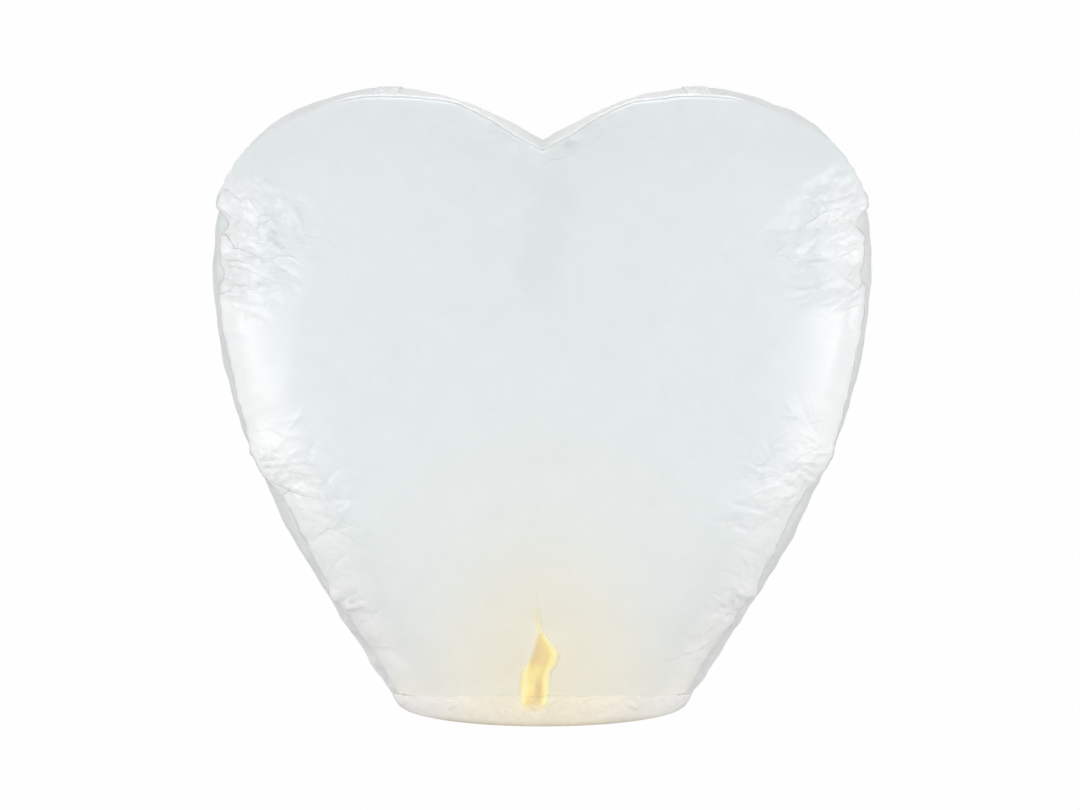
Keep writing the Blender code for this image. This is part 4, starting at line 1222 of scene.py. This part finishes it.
# ----------------------------------------------------------------- paper envelope
def finish_piece(obj, material, body=None, replaces=()):
    obj.data.materials.clear()
    obj.data.materials.append(material)
    if replaces:
        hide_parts(*replaces)
    if body:
        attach(obj, body)
    return obj


def add_to_sheet(obj, material, tag, *replaces):
    """A piece that moves with its sheet, less and less towards the mouth."""
    finish_piece(obj, material, replaces=replaces)
    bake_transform(obj, ROOT, tag + "_sheet", BLEND_START, BLEND_END)


def add_to_strip(obj, material, *replaces):
    """A piece fixed to the hoop frame, with a mesh of its own."""
    finish_piece(obj, material, replaces=replaces)
    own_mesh(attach(obj, ROOT))


SIDES = ((1, "right"), (-1, "left"))
for face, tag in ((1, "front"), (-1, "back")):
    add_to_sheet(sheet(tag + "_sheet", face), SHEET, tag, tag + "_panel")
    add_to_sheet(hem(tag + "_hem", face), HEM, tag, "hem_" + tag)
    for side, word in SIDES:
        add_to_sheet(seam_lap("%s_seam_lap_%s" % (tag, word), face, side), LAP, tag)
        add_to_sheet(turn_in("%s_turn_in_%s" % (tag, word), face, side), STRIP, tag)

for side, word in SIDES:
    add_to_strip(strip("side_strip_" + word, 0.0005, LOBE_SHARE, 330, side), STRIP,
                 "gusset_" + word)
    add_to_strip(join_patch("strip_join_" + word, side), LAP, "join_patch_" + word)
add_to_strip(strip("side_strip_top", LOBE_SHARE, 1.0, 230, 1, across=True), STRIP_TOP,
             "gusset_top")


# ------------------------------------------------------------------- waxed boards
def vertex_vectors(mesh, key):
    values = np.zeros(len(mesh.vertices) * 3, np.float32)
    mesh.vertices.foreach_get(key, values)
    return values.reshape(-1, 3).astype(float)


def waxed_board(i):
    """The frame's pad i, remeshed, roughened and charred towards the front."""
    name = "fuel_pad_%d" % i
    obj = add_object("waxed_board_%d" % i, frame["nodes"][name].data.copy())
    obj.data.materials.clear()
    remesh = obj.modifiers.new("r", "REMESH")
    remesh.mode = "VOXEL"
    remesh.voxel_size = 0.00075
    apply_modifiers(obj)
    mesh = obj.data
    places, normals = vertex_vectors(mesh, "co"), vertex_vectors(mesh, "normal")
    plan = places[:, :2] + i * 0.37
    relief = 0.00035 * waves(plan, 0.012, 50 + i) + 0.00016 * crumple(plan, 0.004, 60 + i)
    upright = np.hypot(normals[:, 0], normals[:, 1])      # 1 on the cut edges
    relief = relief * (0.30 + 0.70 * upright) - 0.0001
    places += normals * relief[:, None]
    mesh.vertices.foreach_set("co", places.astype(np.float32).ravel())
    x, y = places[:, 0], places[:, 1]
    front = smooth((-y - 0.014) / 0.022) * bell(x, -0.004, 0.026)
    char = (np.clip(front * (0.55 + 0.5 * waves(plan, 0.010, 70 + i)), 0, 1)
            * (0.12 + 0.05 * i))
    char = np.clip(char + 0.35 * (np.hypot(x, y) < 0.0085), 0, 0.95)
    mesh.attributes.new("char", "FLOAT", "POINT").data.foreach_set(
        "value", char.astype(np.float32))
    mesh.update()
    finish_piece(obj, PAD, "fuel_cell", (name,))


for i in (1, 2, 3, 4):
    waxed_board(i)


# -------------------------------------------------------------------------- flame
TONGUE_AROUND, TONGUE_RINGS = 56, 120
TONGUE_Z = (0.0, 0.020, 0.045, 0.2)                       # heights at which the y below is given
# Tongues, in millimetres: the outline as rows of (z, left x, right x), then the y of the
# middle at the four heights; then depth over width, a seed, and whether it is faint
TONGUES = (
    # main body: its left side leans to the middle, the right lobe curls over it
    (((-5.6, -18.5, -4), (-2.2, -22.2, 1.2), (3, -24, 4), (8, -26.2, 5.8), (12, -27.5, 6.2),
      (19, -29, 7), (26.2, -30, 9), (32.5, -30.5, 10.5), (39.5, -30, 11), (46, -28.5, 12.5),
      (52, -23.5, 17.5), (58.5, -20, 21.5), (65, -16.5, 23.2), (71.5, -14, 22.2),
      (78, -11.5, 19), (85, -9, 12.5), (92, -7, 6.5), (100, -5.8, 1.5), (108, -6, -1.5),
      (116, -7.2, -4)), (-43, -41, -28, -18), 0.62, 1, False),
    # left foot
    (((-9.5, -25.8, -25.2), (-5, -27, -22.5), (0, -27.7, -19.5), (6, -28.4, -18.8),
      (14, -29.2, -18.2), (23, -30, -15), (30, -30, -12)), (-45, -42, -30, -20), 0.6, 3, False),
    # right foot
    (((-7.5, 4.8, 5.4), (-3, 3.2, 6.8), (2, 2, 7.6), (7, 1.2, 8.2), (13, 0.4, 9),
      (22, -1, 10), (30, -4, 10.5)), (-45, -42, -30, -20), 0.6, 5, False),
    # short middle foot
    (((6, -15, -13.5), (10, -18.5, -8), (15, -22, -2), (22, -23, 1), (29, -22, 0)),
     (-44.5, -41, -30, -20), 0.7, 7, False),
    # faint upper wisps
    (((90, -13, 0), (102, -16, -2), (115, -13.5, -3.5), (128, -11, -5), (142, -9.5, -6),
      (156, -8.5, -6.8), (172, -8, -7.6)), (-20, -20, -20, -18), 0.7, 9, True),
    (((60, -23.5, -10), (72, -20.5, -9), (85, -17.5, -8), (100, -14, -7), (112, -11, -8)),
     (-24, -22, -20, -18), 0.7, 11, True),
)
# Hot lines (x, z) in millimetres, each with its strength and its width in metres
HOT_LINES = (
    (((0.5, 101), (7, 90), (13.5, 79), (16.5, 68), (13, 57), (8, 48), (5.5, 38), (5, 27),
      (4.5, 15), (3.5, 8)), 0.80, 0.0050),
    (((-20, 56), (-22.5, 46), (-23.5, 37), (-22.5, 27), (-24.5, 18), (-26.2, 8)), 0.80, 0.0042),
    (((-6, 52), (-11, 46), (-13, 38), (-14, 30), (-16, 20)), 0.40, 0.0050),
)
# Cool spots: x, z, width, height, strength
COOL_SPOTS = ((-0.011, 0.069, 0.008, 0.012, 0.40), (-0.004, 0.024, 0.0045, 0.011, 0.50),
              (-0.011, 0.004, 0.007, 0.011, 0.22))


def near_line(x, z, points, width):
    """1 on a polyline in the X-Z plane, falling towards 0 past the width."""
    best = np.full(x.shape, 9.0)
    for (x0, z0), (x1, z1) in zip(points, points[1:]):
        dx, dz = x1 - x0, z1 - z0
        u = np.clip(((x - x0) * dx + (z - z0) * dz) / (dx ** 2 + dz ** 2), 0, 1)
        best = np.minimum(best, np.hypot(x - x0 - u * dx, z - z0 - u * dz))
    return bell(best, 0, width)


def tongue(outline, middle_y, flatness, seed):
    """Rings of one tongue of flame, [rings, around, 3]."""
    heights, left, right = mm(outline).T
    z = np.interp(np.linspace(0, 1, TONGUE_RINGS), np.linspace(0, 1, len(heights)), heights)
    left, right = np.interp(z, heights, left), np.interp(z, heights, right)
    for _ in range(5):
        for edge in (left, right):
            edge[1:-1] = (edge[:-2] + 2 * edge[1:-1] + edge[2:]) / 4
    middle = ((left + right) / 2)[:, None]
    radius = np.maximum(0.0001, (right - left) / 2)[:, None]
    y = np.interp(z, TONGUE_Z, mm(middle_y))[:, None]
    angle, z = np.meshgrid(np.linspace(0, 2 * math.pi, TONGUE_AROUND, endpoint=False), z)
    wobble = (1 + 0.07 * np.sin(3 * angle + z * 190 + seed)
              + 0.05 * np.sin(5 * angle - z * 320 + 2 * seed))
    return np.stack([middle + radius * np.cos(angle),
                     y + radius * flatness * np.sin(angle) * wobble,
                     z + 0.10 * radius * np.sin(2 * angle + seed)], -1)


def flame_heat(x, z):
    heat = 0.26
    for points, strength, width in HOT_LINES:
        heat = heat + strength * near_line(x, z, mm(points), width)
    for spot_x, spot_z, width, height, strength in COOL_SPOTS:
        heat -= strength * bell(x, spot_x, width) * bell(z, spot_z, height)
    return heat + 0.14 * np.sin(x * 1500 + 4 * np.sin(z * 110)) * bell(z, 0.030, 0.022)


def add_tongue(bm, verts, heat, density):
    """Adds the rings of a tongue to the mesh and closes both ends."""
    heat_layer = bm.verts.layers.float["warmth"]
    density_layer = bm.verts.layers.float["dens"]

    def vertex(place, warmth, thickness):
        made = bm.verts.new(place)
        made[heat_layer], made[density_layer] = float(warmth), float(thickness)
        return made

    rings = [[vertex(*values) for values in zip(*ring)] for ring in zip(verts, heat, density)]
    for low, high in zip(rings, rings[1:]):
        for j in range(TONGUE_AROUND):
            k = (j + 1) % TONGUE_AROUND
            bm.faces.new((low[j], low[k], high[k], high[j]))
    for i in (0, -1):
        centre = vertex(verts[i].mean(0), heat[i].mean(), density[i].mean())
        for j in range(TONGUE_AROUND):
            a, b = rings[i][j], rings[i][(j + 1) % TONGUE_AROUND]
            bm.faces.new((b, a, centre) if i == 0 else (a, b, centre))


def flame():
    bm = bmesh.new()
    for layer in ("warmth", "dens"):
        bm.verts.layers.float.new(layer)
    for outline, middle_y, flatness, seed, faint in TONGUES:
        verts = tongue(outline, middle_y, flatness, seed)
        x, z = verts[..., 0], verts[..., 2]
        if faint:
            heat = 0.85 - 0.35 * bell(z, 0.115, 0.020)
            density = 0.85 * (1 - 0.75 * smooth((z - 0.120) / 0.050)) + 0.02
        else:
            heat = flame_heat(x, z)
            density = (0.98 * smooth((z + 0.0100) / 0.0065)
                       * (1 - 0.55 * smooth((z - 0.088) / 0.020)))
        add_tongue(bm, verts, heat, density)
    for f in bm.faces:
        f.smooth = True
    mesh = bpy.data.meshes.new("flame")
    bm.to_mesh(mesh)
    bm.free()
    obj = finish_piece(add_object("flame", mesh), FLAME, "fuel_cell")
    obj.visible_shadow = False


flame()

# ---------------------------------------- frame pieces that stay, with new materials
for material, names in (
        (BAMBOO, ("bamboo_hoop",)),
        (THREAD, ("hoop_binding_1", "hoop_binding_2")),
        (WIRE, ("cross_wire_a", "cross_wire_b", "retainer_wire", "wire_tail_left",
                "wire_tail_right"))):
    for name in names:
        slots = frame["nodes"][name].data.materials
        slots.clear()
        slots.append(material)

# ---------------------------------------------------------- floor, world, lights
FLOOR_Z, FLOOR_RADIUS = -0.35, 30.0
BACKDROP = (0.992, 0.992, 0.992)


def floor_material():
    """Matt near the lantern, turning to the plain backdrop colour further out."""
    g = new_material("pale_floor")
    matt = g.node("BsdfDiffuse", {"Color": (0.93, 0.93, 0.93)}).outputs[0]
    plain = g.node("Emission", {"Color": BACKDROP}).outputs[0]
    away = g.vector("LENGTH", g.node("NewGeometry").outputs["Position"], output="Value")
    far = g.calc("MULTIPLY_ADD", away, 2.2, -0.90, clamp=True)
    return g.surface(g.mix_shader(far, matt, plain))


def add_floor():
    bm = bmesh.new()
    bmesh.ops.create_circle(bm, cap_ends=True, radius=FLOOR_RADIUS, segments=96)
    mesh = bpy.data.meshes.new("floor")
    bm.to_mesh(mesh)
    bm.free()
    floor = add_object("floor", mesh)
    floor.location = (0, 0, FLOOR_Z)
    mesh.materials.append(floor_material())
    floor.visible_diffuse = False
    floor.visible_glossy = False
    floor.visible_transmission = False
    floor.visible_shadow = False


def add_world():
    """Soft light, a little stronger from the sides and the front; the camera sees
    the plain backdrop."""
    world = bpy.data.worlds.new("studio")
    bpy.context.scene.world = world
    g = Graph(world)
    x, y, z = g.split(g.place("Generated"))
    sideways = g.calc("POWER", g.calc("ABSOLUTE", x), 2.0)
    strength = g.calc("MULTIPLY_ADD", sideways, 0.05, 0.565)
    strength = g.calc("MULTIPLY_ADD", z, 0.0, strength)   # no change with height
    strength = g.calc("MULTIPLY_ADD", y, -0.08, strength)
    strength = g.calc("MAXIMUM", strength, 0.05)
    light = g.node("Background", {"Strength": strength, "Color": (0.985, 0.995, 1.0)}).outputs[0]
    seen = g.node("Background", {"Strength": 1.0, "Color": BACKDROP}).outputs[0]
    camera_ray = g.node("LightPath").outputs["Is Camera Ray"]
    g.surface(g.mix_shader(camera_ray, light, seen), "OutputWorld")


def add_area_light(name, location, size, energy):
    """Rectangular light aimed at the middle of the lantern."""
    light = bpy.data.lights.new(name, "AREA")
    light.shape = "RECTANGLE"
    light.size, light.size_y = size
    light.energy = energy
    light.color = (1, 1, 1)
    obj = add_object(name, light)
    obj.location = location
    aim = Vector((0, 0, 0.4)) - Vector(location)
    obj.rotation_euler = aim.to_track_quat("-Z", "Y").to_euler()


def add_flame_light():
    light = bpy.data.lights.new("flame_glow", "POINT")
    light.energy = 0.38
    light.color = (1.0, 0.74, 0.42)
    light.shadow_soft_size = 0.03
    add_object("flame_glow", light).location = (0, -0.02, 0.07)


def add_camera():
    """In front of the lantern, about half way up, looking level along +Y."""
    data = bpy.data.cameras.new("camera")
    data.lens = 63.5
    data.sensor_width = 36.0
    data.clip_end = 200
    camera = add_object("camera", data)
    camera.location = (CAMERA_X, -CAMERA_DISTANCE, CAMERA_Z)
    camera.rotation_euler = (math.pi / 2, 0, 0)
    bpy.context.scene.camera = camera


add_floor()
add_world()
add_area_light("soft_left", location=(-2.05, -1.75, 0.50), size=(0.8, 1.4), energy=29)
add_area_light("soft_right", location=(2.05, -1.75, 0.50), size=(0.8, 1.4), energy=29)
add_area_light("soft_top", location=(0, 0.40, 3.0), size=(1.4, 0.6), energy=26)
add_flame_light()
add_camera()
bpy.context.scene.view_settings.view_transform = "Standard"
bpy.context.scene.view_settings.look = "None"

bpy.context.view_layer.update()
